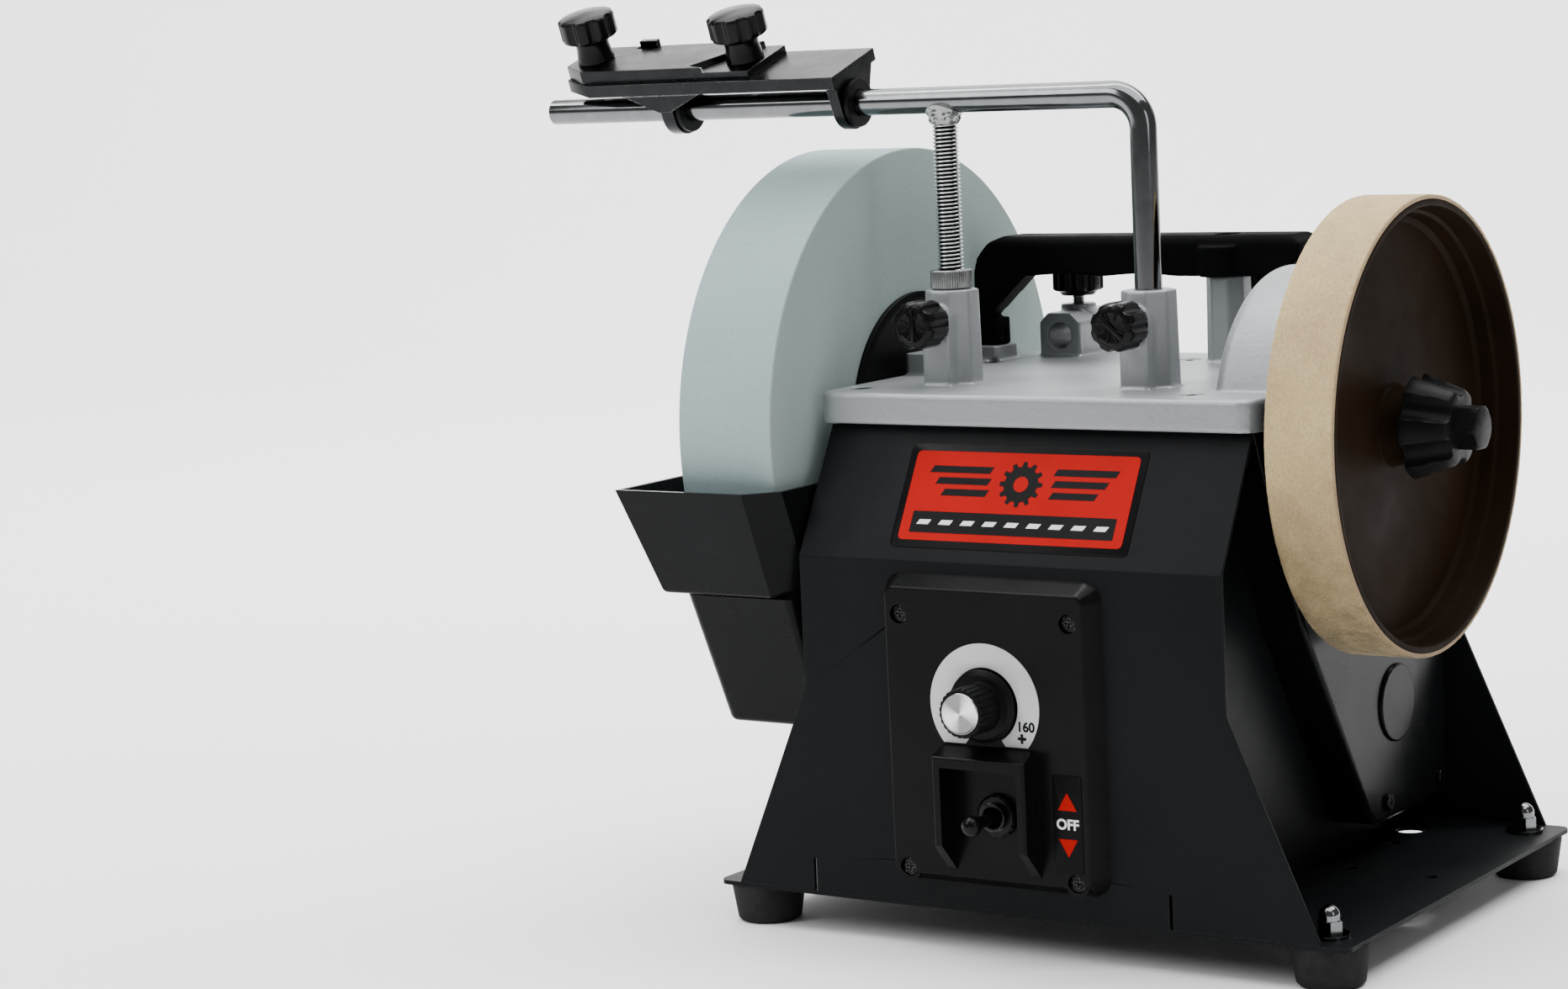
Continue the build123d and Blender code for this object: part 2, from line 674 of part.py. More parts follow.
# ---- Belt drive and motor ----
def belt_loop(radius_drive, radius_motor, x0, x1):
    """Solid between the two outer tangents of circles on the two pulley axes."""
    dy, dz = MOTOR_Y, MOTOR_Z - SPINDLE_Z
    span = sqrt(dy * dy + dz * dz)
    lean = (radius_drive - radius_motor) / span
    points = []
    for side in (1, -1):
        # Unit normal of the tangent line on this side.
        along = (dy / span, dz / span)
        across = (-side * dz / span, side * dy / span)
        normal = [along[k] * lean + across[k] * sqrt(1 - lean * lean) for k in (0, 1)]
        drive = (radius_drive * normal[0], SPINDLE_Z + radius_drive * normal[1])
        motor = (MOTOR_Y + radius_motor * normal[0], MOTOR_Z + radius_motor * normal[1])
        points += [drive, motor] if side == 1 else [motor, drive]
    loop = prism_x(points, x0, x1)
    loop += rod_x(radius_drive, x0, x1)
    loop += rod_x(radius_motor, x0, x1, MOTOR_Y, MOTOR_Z)
    return loop


def drive_belt():
    x0, x1 = PULLEY_LEFT + 1.4, PULLEY_RIGHT - 1.4
    inner = belt_loop(DRIVE_R + BELT_GAP, MOTOR_PULLEY_R + BELT_GAP, x0 - 1, x1 + 1)
    outer = belt_loop(DRIVE_R + BELT_GAP + BELT, MOTOR_PULLEY_R + BELT_GAP + BELT, x0, x1)
    return outer - inner


def motor_pulley():
    pulley = rod_x(MOTOR_PULLEY_R + 2, PULLEY_LEFT, PULLEY_RIGHT, MOTOR_Y, MOTOR_Z)
    seat = rod_x(30, PULLEY_LEFT + 1, PULLEY_RIGHT - 1, MOTOR_Y, MOTOR_Z)
    seat -= rod_x(MOTOR_PULLEY_R, PULLEY_LEFT, PULLEY_RIGHT, MOTOR_Y, MOTOR_Z)
    return pulley - seat - rod_x(5, PULLEY_LEFT - 1, PULLEY_RIGHT + 1, MOTOR_Y, MOTOR_Z)


def motor_shaft():
    return rod_x(5, -54, PULLEY_RIGHT + 1, MOTOR_Y, MOTOR_Z)


def motor_armature():
    core = rod_x(28, -25, 35, MOTOR_Y, MOTOR_Z)
    core += rod_x(16, -38, 45, MOTOR_Y, MOTOR_Z)
    for i in range(12):
        angle = radians(30 * i)
        core -= rod_x(2, -26, 36, MOTOR_Y + 28 * cos(angle), MOTOR_Z + 28 * sin(angle))
    return core - rod_x(5, -60, 60, MOTOR_Y, MOTOR_Z)


def motor_body():
    body = rod_x(MOTOR_R, -44, 56, MOTOR_Y, MOTOR_Z)
    body -= rod_x(MOTOR_R - 3, -45, 57, MOTOR_Y, MOTOR_Z)
    for side in (-1, 1):
        magnet = rod_x(MOTOR_R - 3, -30, 40, MOTOR_Y, MOTOR_Z) - rod_x(30, -31, 41, MOTOR_Y, MOTOR_Z)
        span = block(-31, 41, MOTOR_Y - 60, MOTOR_Y + 60, MOTOR_Z - 24, MOTOR_Z + 24)
        half = block(-31, 41, MOTOR_Y, MOTOR_Y + side * 60, MOTOR_Z - 60, MOTOR_Z + 60)
        body += magnet & span & half
    return body


def motor_end_bell(x0, x1, inward):
    """Round end cover with a bearing boss and a running hole for the shaft."""
    bell = rod_x(MOTOR_R, x0, x1, MOTOR_Y, MOTOR_Z)
    outer_end = bell.edges().group_by(Axis.X)[0 if inward > 0 else -1]
    bell = fillet(outer_end, 3)
    for i in range(8):
        angle = radians(45 * i + 22.5)
        bell -= rod_x(5, x0 - 1, x1 + 1, MOTOR_Y + 33 * cos(angle), MOTOR_Z + 33 * sin(angle))
    bell -= rod_x(5.06, x0 - 5, x1 + 5, MOTOR_Y, MOTOR_Z)
    return bell


def motor_rear_bell():
    return motor_end_bell(-52, -44, 1)


def motor_front_bell():
    return motor_end_bell(56, 64, -1)


def motor_bracket():
    """Folded plate that carries the motor and bolts to the base plate."""
    plate = block(64, 67, MOTOR_Y - 48, MOTOR_Y + 48, BASE_TOP, MOTOR_Z + 48)
    plate = fillet([e for e in plate.edges().filter_by(Axis.X) if e.center().Z > MOTOR_Z], 12)
    plate += block(30, 67, MOTOR_Y - 48, MOTOR_Y + 48, BASE_TOP, BASE_TOP + 3)
    plate -= rod_x(16, 60, 70, MOTOR_Y, MOTOR_Z)
    for y, z in motor_screw_points():
        plate -= rod_x(2.2, 60, 70, y, z)
    for y in (MOTOR_Y - 38, MOTOR_Y + 38):
        plate -= rod_z(2.7, BASE_TOP - 1, BASE_TOP + 5, 42, y)
    return plate


def motor_screw_points():
    reach = 24.0
    return [(MOTOR_Y + sy * reach, MOTOR_Z + sz * reach) for sy in (-1, 1) for sz in (-1, 1)]


def motor_screws():
    """Four screws through the bracket into the motor, and two bolts through the foot of the bracket."""
    screws = [rod_x(3.5, 67, 69.5, y, z) + rod_x(2.0, 64.0, 67, y, z) for y, z in motor_screw_points()]
    for y in (MOTOR_Y - 38, MOTOR_Y + 38):
        head = rod_z(4.5, BASE_TOP + 3, BASE_TOP + 6.5, 42, y)
        screws.append(head + rod_z(2.5, BASE_TOP, BASE_TOP + 3, 42, y))
    return screws


# ---- Controls ----
def control_screw_points():
    return [(CONTROL_X + sx * 42, CONTROL_Z - 5 + sz * 56) for sx in (-1, 1) for sz in (-1, 1)]


def control_panel():
    """Bevelled moulding with a hood round the toggle switch."""
    base = Pos(CONTROL_X, -PANEL_Y, CONTROL_Z) * Rot(90, 0, 0) * RectangleRounded(CONTROL_W, CONTROL_H, 9)
    depth = -CONTROL_FACE_Y - PANEL_Y
    plate = extrude(base, amount=depth, taper=30)
    plate = fillet(plate.faces().sort_by(Axis.Y)[0].edges(), 1.2)
    inner_w, inner_h = CONTROL_W - 16, CONTROL_H - 16
    inside = block(
        CONTROL_X - inner_w / 2,
        CONTROL_X + inner_w / 2,
        CONTROL_FACE_Y + 3,
        -PANEL_Y + 1,
        CONTROL_Z - inner_h / 2,
        CONTROL_Z + inner_h / 2,
    )
    plate -= inside
    plate += toggle_hood()
    for x, z in control_screw_points():
        plate += rod_y(6, CONTROL_FACE_Y + 1, -PANEL_Y, x, z)
        plate -= rod_y(4.2, CONTROL_FACE_Y - 1, CONTROL_FACE_Y + 4, x, z)
        plate -= rod_y(2.0, CONTROL_FACE_Y - 1, -PANEL_Y + 1, x, z)
    plate -= rod_y(3.6, CONTROL_FACE_Y - 1, CONTROL_FACE_Y + 5, CONTROL_X, DIAL_Z)
    plate -= rod_y(6.2, CONTROL_FACE_Y - 1, CONTROL_FACE_Y + 5, TOGGLE_X, TOGGLE_Z)
    return plate


def toggle_hood():
    """Raised three-sided guard with one cut corner. It slopes back to the panel at its open lower end."""
    left, right, top = CONTROL_X - 21, CONTROL_X + 25, 94
    reach = 12
    side = [
        (CONTROL_FACE_Y + 1, top + 1),
        (CONTROL_FACE_Y - reach, top - 3),
        (CONTROL_FACE_Y - reach, 52),
        (CONTROL_FACE_Y + 1, 38),
    ]
    hood = prism_x(side, left, right)
    fronts = [e for e in hood.edges() if e.center().Y < CONTROL_FACE_Y - reach + 1]
    hood = fillet(fronts, 1.5)
    hollow = [
        (CONTROL_FACE_Y + 0.2, top - 3),
        (CONTROL_FACE_Y - reach - 1, top - 8),
        (CONTROL_FACE_Y - reach - 1, 20),
        (CONTROL_FACE_Y + 0.2, 20),
    ]
    corner = [(right - 4, top + 2), (right + 2, top + 2), (right + 2, top - 4)]
    hood -= prism_y(corner, CONTROL_FACE_Y - reach - 1, CONTROL_FACE_Y - 0.1)
    return hood - prism_x(hollow, left + 4, right - 4)


def panel_screws():
    screws = []
    for x, z in control_screw_points():
        head = rod_y(3.6, CONTROL_FACE_Y + 1.6, CONTROL_FACE_Y + 3.9, x, z)
        head += rod_y(1.8, CONTROL_FACE_Y + 3.9, -PANEL_Y + 6, x, z)
        slot = block(x - 2.2, x + 2.2, CONTROL_FACE_Y + 1, CONTROL_FACE_Y + 2.8, z - 0.45, z + 0.45)
        cross = block(x - 0.45, x + 0.45, CONTROL_FACE_Y + 1, CONTROL_FACE_Y + 2.8, z - 2.2, z + 2.2)
        screws.append(head - slot - cross)
    return screws


def dial_plate():
    """Thin ring with a flat lower edge, round the speed knob."""
    ring = rod_y(27, CONTROL_FACE_Y - 0.6, CONTROL_FACE_Y, CONTROL_X, DIAL_Z)
    ring -= block(CONTROL_X - 30, CONTROL_X + 30, CONTROL_FACE_Y - 2, CONTROL_FACE_Y + 1, 60, 95.2)
    return ring - rod_y(4.5, CONTROL_FACE_Y - 2, CONTROL_FACE_Y + 1, CONTROL_X, DIAL_Z)


def switch_label():
    return block(CONTROL_X + 32, CONTROL_X + 46, CONTROL_FACE_Y - 0.4, CONTROL_FACE_Y, 42, 85)


def front_label():
    """Thin label on the leaning part of the front panel."""
    run, rise = PANEL_Y - PANEL_TOP_Y, LEAN_TOP_Z - BEND_Z
    slope = sqrt(run * run + rise * rise)
    label = RectangleRounded(118, 49, 3)
    thick = extrude(label, amount=0.5)
    tilt = Plane(
        origin=(0, -PANEL_Y + run * 0.47, BEND_Z + rise * 0.47),
        x_dir=(1, 0, 0),
        z_dir=(0, -rise / slope, run / slope),
    )
    return tilt * thick


def speed_knob():
    """Skirted knob with a fluted barrel. Its axis points along -Y."""
    face = CONTROL_FACE_Y - 1.4
    skirt = rod_y(16, face - 3, face, CONTROL_X, DIAL_Z)
    skirt = fillet(skirt.edges().group_by(Axis.Y)[0], 2)
    barrel = rod_y(10.8, face - 18.5, face - 3, CONTROL_X, DIAL_Z)
    for i in range(24):
        angle = radians(15 * i)
        x, z = CONTROL_X + 11.2 * cos(angle), DIAL_Z + 11.2 * sin(angle)
        barrel -= rod_y(0.8, face - 20, face - 3.5, x, z)
    knob = skirt + barrel
    return knob - rod_y(3.05, face - 15, face + 1, CONTROL_X, DIAL_Z)


def knob_cap():
    """Spun metal disc on the knob, with a pointer nick."""
    front = CONTROL_FACE_Y - 19.9
    cap = rod_y(9.0, front - 1.2, front, CONTROL_X, DIAL_Z)
    return fillet(cap.edges().group_by(Axis.Y)[0], 0.5)


def knob_spindle():
    return rod_y(3.0, CONTROL_FACE_Y - 16, CONTROL_FACE_Y + 9, CONTROL_X, DIAL_Z)


def potentiometer():
    body = rod_y(12, CONTROL_FACE_Y + 6, CONTROL_FACE_Y + 18, CONTROL_X, DIAL_Z)
    nose = rod_y(4.5, CONTROL_FACE_Y + 3.2, CONTROL_FACE_Y + 6, CONTROL_X, DIAL_Z)
    tabs = block(CONTROL_X - 8, CONTROL_X + 8, -114, -112, DIAL_Z - 18, DIAL_Z - 10)
    return body + nose + tabs - rod_y(3.06, CONTROL_FACE_Y, CONTROL_FACE_Y + 10, CONTROL_X, DIAL_Z)


def toggle_switch():
    """Switch body behind the panel, with a threaded bushing through it."""
    inner = CONTROL_FACE_Y + 3
    body = block(TOGGLE_X - 9, TOGGLE_X + 9, inner + 0.2, inner + 24, TOGGLE_Z - 14, TOGGLE_Z + 14)
    body += rod_y(6.0, CONTROL_FACE_Y - 6, inner + 0.2, TOGGLE_X, TOGGLE_Z)
    cone = Pos(TOGGLE_X, CONTROL_FACE_Y - 2, TOGGLE_Z) * Rot(90, 0, 0) * Cone(2.8, 5.2, 10)
    body -= cone
    body -= Pos(TOGGLE_X, CONTROL_FACE_Y + 3.2, TOGGLE_Z) * Sphere(4.3)
    for i in range(3):
        z = TOGGLE_Z - 9 + 9 * i
        body += block(TOGGLE_X - 3, TOGGLE_X + 3, inner + 24, inner + 29, z - 0.4, z + 0.4)
    return body


def toggle_nut():
    face = CONTROL_FACE_Y
    nut = rod_y(9.5, face - 3.4, face, TOGGLE_X, TOGGLE_Z)
    nut = fillet(nut.edges().group_by(Axis.Y)[0], 1.2)
    for i in range(16):
        angle = radians(22.5 * i)
        nut -= rod_y(0.7, face - 4, face + 1, TOGGLE_X + 9.7 * cos(angle), TOGGLE_Z + 9.7 * sin(angle))
    return nut - rod_y(6.02, face - 5, face + 1, TOGGLE_X, TOGGLE_Z)


def toggle_lever():
    """Tapered lever with a ball end. It pivots on the ball inside the bushing."""
    pivot = CONTROL_FACE_Y + 3.2
    tip = CONTROL_FACE_Y - 23
    shank = Pos(TOGGLE_X, (pivot + tip) / 2, TOGGLE_Z) * Rot(90, 0, 0) * Cone(1.9, 2.9, pivot - tip)
    return shank + Pos(TOGGLE_X, pivot, TOGGLE_Z) * Sphere(3.9) + Pos(TOGGLE_X, tip, TOGGLE_Z) * Sphere(4.4)


def control_board():
    """Speed-control board on four standoffs on the back of the control panel."""
    board = block(CONTROL_X - 44, CONTROL_X - 16, -109, -107.4, 50, 148)
    for z in (60, 138):
        for x in (CONTROL_X - 36, CONTROL_X - 20):
            board += rod_y(2.5, CONTROL_FACE_Y + 3, -109, x, z)
    board += block(CONTROL_X - 42, CONTROL_X - 30, -107.4, -84, 75, 120)
    board += rod_y(6, -107.4, -92, CONTROL_X - 23, 70)
    board += rod_y(6, -107.4, -92, CONTROL_X - 23, 90)
    return board


def inlet_gland():
    """Mains inlet gland in the rear panel, with its lock nut inside."""
    gland = rod_y(9.0, PANEL_Y - 8, PANEL_Y + 4, -60, 60)
    hexagon = Pos(-60, PANEL_Y, 60) * Rot(-90, 0, 0) * RegularPolygon(12, 6, major_radius=False)
    gland += extrude(hexagon, amount=5)
    gland += rod_y(9.5, PANEL_Y + 5, PANEL_Y + 12, -60, 60)
    gland = fillet(gland.edges().group_by(Axis.Y)[-1], 2.5)
    inner = Pos(-60, PANEL_Y - SHEET, 60) * Rot(90, 0, 0) * RegularPolygon(12, 6, major_radius=False)
    gland += extrude(inner, amount=4)
    return gland - rod_y(3.6, PANEL_Y - 10, PANEL_Y + 14, -60, 60)


# ---- Tool support ----
def support_bar():
    """Bent rod: level tool bar, one bend, and the plain leg."""
    corner = Vector(POST_RIGHT_X, POST_Y, BAR_Z)
    path = FilletPolyline(
        (BAR_LEFT, POST_Y, BAR_Z), corner, (POST_RIGHT_X, POST_Y, LEG_BOTTOM), radius=BEND_R
    )
    start = Plane(origin=(BAR_LEFT, POST_Y, BAR_Z), z_dir=(1, 0, 0))
    bar = sweep(start * Circle(ROD_R), path=path)
    bar = fillet(bar.edges().group_by(Axis.X)[0], 3)
    return chamfer(bar.edges().group_by(Axis.Z)[0], 1)


def threaded_leg():
    """M12 leg welded under the bar. Its thread is plain here, at the thread's outer size."""
    leg = rod_z(LEG_R, LEG_BOTTOM, BAR_Z - ROD_R - 1, POST_LEFT_X, POST_Y)
    leg = chamfer(leg.edges().group_by(Axis.Z)[0], 1)
    weld = Pos(POST_LEFT_X, POST_Y, BAR_Z - ROD_R - 0.5) * Cone(7.0, 9.0, 7)
    return leg + weld - rod_x(ROD_R, POST_LEFT_X - 20, POST_LEFT_X + 20, POST_Y, BAR_Z)


def height_nut():
    """Knurled nut on the threaded leg. It rests on the left post."""
    low, high, radius = POST_TOP + 0.3, POST_TOP + 8.7, 9.4
    nut = rod_z(radius, low, high, POST_LEFT_X, POST_Y)
    nut = chamfer(nut.edges(), 0.6)
    for i in range(36):
        angle = radians(10 * i)
        x, y = POST_LEFT_X + (radius + 0.25) * cos(angle), POST_Y + (radius + 0.25) * sin(angle)
        nut -= rod_z(0.55, low - 1, high + 1, x, y)
    return nut - rod_z(LEG_R + RUNNING, low - 1, high + 1, POST_LEFT_X, POST_Y)


# ---- Clamp knobs ----
def clamp_knob(radius, stud_length, collar):
    """Eight-lobed knob on z = 0 over a collar, and the steel stud moulded into it that reaches down."""
    head = Pos(0, 0, collar) * lobed_head(radius, 8, 19 - collar, 0.25 * radius, 0.12 * radius)
    neck = Pos(0, 0, collar / 2) * Cone(0.65 * radius, 0.78 * radius, collar)
    knob = head + neck - Pos(0, 0, 4) * Cylinder(STUD_R, 12)
    stud = Pos(0, 0, (10 - stud_length) / 2) * Cylinder(STUD_R, 10 + stud_length)
    return Compound(children=[knob, stud])


def front_knob_place(x):
    return Pos(x, POST_Y - POST_FLAT - 4.6, CLAMP_Z) * Rot(90, 0, 0)


def rear_knob_place(x):
    return Pos(x, SLEEVE_CLAMP_Y, SLEEVE_BOSS_TOP + 4) * Rot(0, 0, 12)


# ---- Planer-blade jig on the bar ----
def jig_place():
    """Jig frame: x as the machine's, origin on the bar's axis, tilted back about it."""
    return Pos(0, POST_Y, BAR_Z) * Rot(JIG_TILT, 0, 0)


def jig_base():
    """Long plate with one slanted corner, and two lugs with webs that reach round the bar."""
    front, rear, low, high = -14, 24, 11.5, 17.5
    outline = [
        (JIG_LEFT, rear),
        (JIG_LEFT, front + 10),
        (JIG_LEFT + 18, front),
        (JIG_RIGHT, front),
        (JIG_RIGHT, rear),
    ]
    plate = prism_z(outline, low, high)
    for x, half in JIG_LUGS:
        plate += jig_lug(x, half)
    plate += block(-238, -228, rear - 3, rear, high, high + 9)
    for x in JIG_KNOB_X:
        plate -= rod_z(STUD_R + 0.3, low - 1, high + 1, x, 5)
    return plate


def jig_lug(x, half):
    """One lug of the given half width, with its bore for a bush and its web up to the plate."""
    outer = 12.0
    lug = rod_x(outer, x - half, x + half, 0, 0)
    web = [(-outer, 0), (-13, 12), (20, 12), (outer * 0.7, -outer * 0.7)]
    lug += prism_x(web, x - half, x + half)
    rib = [(x - 22, 11.6), (x + 22, 11.6), (x + half, 3), (x - half, 3)]
    if x < -150:
        lug += prism_y(rib, -13.5, -10.5)
    return lug - rod_x(8.5, x - half - 1, x + half + 1, 0, 0)


def jig_bush(x, half):
    """Plastic bush in a lug, flanged on its right side, running on the bar."""
    bush = rod_x(8.44, x - half, x + half + 0.3, 0, 0)
    bush += rod_x(11, x + half + 0.3, x + half + 2.8, 0, 0)
    return bush - rod_x(ROD_R + RUNNING, x - 10, x + 10, 0, 0)


def jig_clamp_plate():
    """Upper plate: thick to the left, stepped down to the right, with slanted corners."""
    front, rear, low, high = -11, 23, 17.5, 23.5
    outline = [
        (JIG_LEFT, rear),
        (JIG_LEFT, front + 9),
        (JIG_LEFT + 14, front),
        (CLAMP_PLATE_RIGHT, front),
        (CLAMP_PLATE_RIGHT, rear),
    ]
    plate = prism_z(outline, low, high)
    step = [(-178, front - 1), (-150, front - 1), (-150, rear + 1), (-167, rear + 1), (-191, front + 3)]
    plate -= prism_z(step, high - 2.5, high + 1)
    plate -= block(-239, -227, rear - 4, rear + 1, low - 1, high + 1)
    for x in JIG_KNOB_X:
        plate -= rod_z(STUD_R + 0.3, low - 1, high + 1, x, 5)
    return plate


def jig_knob(stud_length):
    """Tall knob on z = 0: tapered neck under an eight-lobed head, on its own steel stud."""
    neck = Pos(0, 0, 5.5) * Cone(9, 7.5, 11)
    head = Pos(0, 0, 10) * lobed_head(13.5, 8, 14, 3.4, 1.8)
    under = Pos(0, 0, 8) * Cone(7.5, 12, 6)
    knob = neck + (under & Pos(0, 0, 8) * Cylinder(11.5, 6)) + head
    knob -= Pos(0, 0, 6) * Cylinder(STUD_R, 14)
    stud = Pos(0, 0, (13 - stud_length) / 2) * Cylinder(STUD_R, 13 + stud_length)
    return Compound(children=[knob, stud])


def jig_knob_place(x):
    seat = 23.7 if x < -200 else 21.2
    return jig_place() * Pos(x, 5, seat)


# ---- Trough ----
def trough_section(inset, z):
    """The trough's outline at one level, drawn in by the wall for its inside."""
    depth = (TROUGH_TOP - z) / (TROUGH_TOP - TROUGH_BOTTOM)
    left = TROUGH_LEFT + 2.5 * depth + inset
    right = TROUGH_RIGHT - inset
    reach = TROUGH_Y - 26 * depth - inset
    outline = Rectangle(right - left, 2 * reach)
    outline = fillet(outline.vertices(), 5 - inset)
    return Pos((left + right) / 2, 0, z) * outline


def water_trough():
    """Deep trough round the stone's lower part. Its ends lean in towards the bottom."""
    wall = 1.8
    outer = loft([trough_section(0, TROUGH_BOTTOM), trough_section(0, TROUGH_TOP)])
    outer = fillet(outer.edges().group_by(Axis.Z)[0], 4)
    inner = loft([trough_section(wall, TROUGH_BOTTOM + wall), trough_section(wall, TROUGH_TOP + 0.01)])
    return outer - inner


def splash_tray():
    """Wide upper tray: sloping ends and left wall, cut corners, open floor over the trough."""
    low = TROUGH_TOP + 0.3
    wall = 2.0
    right = -108.2

    def ring(inset, z):
        y_in = 20 - 20 * (z - low) / (TRAY_TOP - low)
        x_in = 10 - 10 * (z - low) / (TRAY_TOP - low)
        left, reach = TRAY_LEFT + x_in + inset, TRAY_Y - y_in - inset
        cut = 13
        points = [
            (left, -reach),
            (right - cut, -reach),
            (right - inset, -reach + cut),
            (right - inset, reach - cut),
            (right - cut, reach),
            (left, reach),
        ]
        return Pos(0, 0, z) * Polygon(*points, align=None)

    outer = loft([ring(0, low), ring(0, TRAY_TOP)])
    outer = fillet(outer.edges().group_by(Axis.Z)[0], 3)
    inner = loft([ring(wall, low + wall), ring(wall, TRAY_TOP + 0.01)])
    tray = outer - inner
    tray -= block(TROUGH_LEFT + 3, TROUGH_RIGHT - 2.5, -TROUGH_Y + 4, TROUGH_Y - 4, low - 1, low + wall + 1)
    tray -= block(right - 6, right + 1, -68, 68, low + 6, TRAY_TOP + 1)
    return tray


def trough_hanger():
    """Two slotted rails on the left wall that the trough's side rides on."""
    rails = []
    for y in (-80, 80):
        rail = block(TROUGH_RIGHT + 0.4, -WALL_X, y - 9, y + 9, 60, 63)
        rail += block(-WALL_X - 3, -WALL_X, y - 9, y + 9, 40, 124)
        rail += block(TROUGH_RIGHT + 0.4, TROUGH_RIGHT + 3.4, y - 9, y + 9, 60, 124)
        rails.append(rail)
    return rails


def build():
    """Every sub-part by name."""
    parts = {
        "front_panel": front_panel(),
        "rear_panel": rear_panel(),
        "base_plate": base_plate(),
        "left_wall": left_wall(),
        "right_wall": right_wall(),
        "belt_cover": belt_cover(),
        "case_screws": Compound(children=cover_screws() + casting_screws()),
        "rubber_feet": Compound(children=rubber_feet()),
        "foot_bolts": Compound(children=foot_bolts()),
        "acorn_nuts": Compound(children=acorn_nuts() + foot_washers()),
        "top_casting": top_casting(),
        "carrying_handle": handle(),
        "handle_screws": Compound(children=handle_screws()),
        "spindle": spindle(),
        "grinding_stone": grinding_stone(),
        "stone_bush": stone_bush(),
        "stone_flanges": Compound(children=[inner_flange(), outer_flange()]),
        "stone_nut": stone_nut(),
        "honing_wheel": honing_wheel(),
        "honing_leather": honing_leather(),
        "honing_nut": honing_nut(),
        "drive_pulley": drive_pulley(),
        "drive_belt": drive_belt(),
        "motor_pulley": motor_pulley(),
        "motor_shaft": motor_shaft(),
        "motor_armature": motor_armature(),
        "motor_body": motor_body(),
        "motor_end_bells": Compound(children=[motor_rear_bell(), motor_front_bell()]),
        "motor_bracket": motor_bracket(),
        "motor_screws": Compound(children=motor_screws()),
        "control_panel": control_panel(),
        "panel_screws": Compound(children=panel_screws()),
        "dial_plate": dial_plate(),
        "switch_label": switch_label(),
        "front_label": front_label(),
        "speed_knob": speed_knob(),
        "speed_knob_cap": knob_cap(),
        "speed_knob_shaft": knob_spindle(),
        "potentiometer": potentiometer(),
        "toggle_switch": toggle_switch(),
        "toggle_nut": toggle_nut(),
        "toggle_lever": toggle_lever(),
        "control_board": control_board(),
        "inlet_gland": inlet_gland(),
        "support_bar": support_bar(),
        "threaded_leg": threaded_leg(),
        "height_nut": height_nut(),
        "jig_base": jig_place() * jig_base(),
        "jig_clamp_plate": jig_place() * jig_clamp_plate(),
        "jig_bushes": jig_place() * Compound(children=[jig_bush(x, half) for x, half in JIG_LUGS]),
        "bearings": Compound(children=bearings()),
        "water_trough": water_trough(),
        "splash_tray": splash_tray(),
        "trough_hanger": Compound(children=trough_hanger()),
    }
    for side, x, rear_x in (("left", POST_LEFT_X, SLEEVE_X[0]), ("right", POST_RIGHT_X, SLEEVE_X[1])):
        parts["front_clamp_knob_" + side] = front_knob_place(x) * clamp_knob(10.8, 10.3, 3)
        parts["rear_clamp_knob_" + side] = rear_knob_place(rear_x) * clamp_knob(12.2, 11.6, 2)
    parts["jig_knob_left"] = jig_knob_place(JIG_KNOB_X[0]) * jig_knob(13.2)
    parts["jig_knob_right"] = jig_knob_place(JIG_KNOB_X[1]) * jig_knob(10.7)
    return parts


os.makedirs("parts", exist_ok=True)
for node_name, node_shape in build().items():
    save(node_name, node_shape)
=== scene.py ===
import math

import bmesh
import bpy
from mathutils import Matrix, Vector, noise


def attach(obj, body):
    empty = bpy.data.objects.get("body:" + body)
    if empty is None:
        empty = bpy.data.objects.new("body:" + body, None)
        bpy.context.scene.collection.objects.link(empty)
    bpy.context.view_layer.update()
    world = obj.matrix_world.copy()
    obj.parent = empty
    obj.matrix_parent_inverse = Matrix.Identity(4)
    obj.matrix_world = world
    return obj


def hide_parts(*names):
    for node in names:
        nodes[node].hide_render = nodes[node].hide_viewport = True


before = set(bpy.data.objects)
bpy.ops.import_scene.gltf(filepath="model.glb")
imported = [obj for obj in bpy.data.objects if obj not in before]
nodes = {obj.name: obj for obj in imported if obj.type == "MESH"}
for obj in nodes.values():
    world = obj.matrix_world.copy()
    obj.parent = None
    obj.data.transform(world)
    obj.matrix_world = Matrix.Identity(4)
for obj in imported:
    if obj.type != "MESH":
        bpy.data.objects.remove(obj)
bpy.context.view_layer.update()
MM = 0.001
VIEW_AZIMUTH = math.radians(33.764)
VIEW_PITCH = math.radians(7.467)
VIEW_ROLL = math.radians(-2.633)

# Main places on the machine, in mm.
SPINDLE_HEIGHT = 221.0
BAR_Y, BAR_HEIGHT = -50.0, 369.0
LEG_X, ROD_X = -63.0, 37.0
LEG_FOOT, LEG_TOP = 206.0, 358.0
FACE_Y = -130.0


# ---------------------------------------------------------------- camera
def make_camera():
    level = Vector((math.cos(VIEW_AZIMUTH), math.sin(VIEW_AZIMUTH), 0))
    back = Vector((level.y, -level.x, 0)) * math.cos(VIEW_PITCH) + Vector((0, 0, math.sin(VIEW_PITCH)))
    upright = back.cross(level)
    right = level * math.cos(VIEW_ROLL) + upright * math.sin(VIEW_ROLL)
    up = upright * math.cos(VIEW_ROLL) - level * math.sin(VIEW_ROLL)
    camera = bpy.data.objects.new("camera", bpy.data.cameras.new("camera"))
    bpy.context.scene.collection.objects.link(camera)
    camera.matrix_world = Matrix((right, up, back)).transposed().to_4x4()
    camera.location = (0.7769, -1.4200, 0.4018)
    camera.data.sensor_width = 36
    camera.data.lens = 82.17
    camera.data.shift_x = -0.02339
    camera.data.shift_y = 0.00386
    camera.data.clip_start, camera.data.clip_end = 0.05, 50
    bpy.context.scene.camera = camera


make_camera()


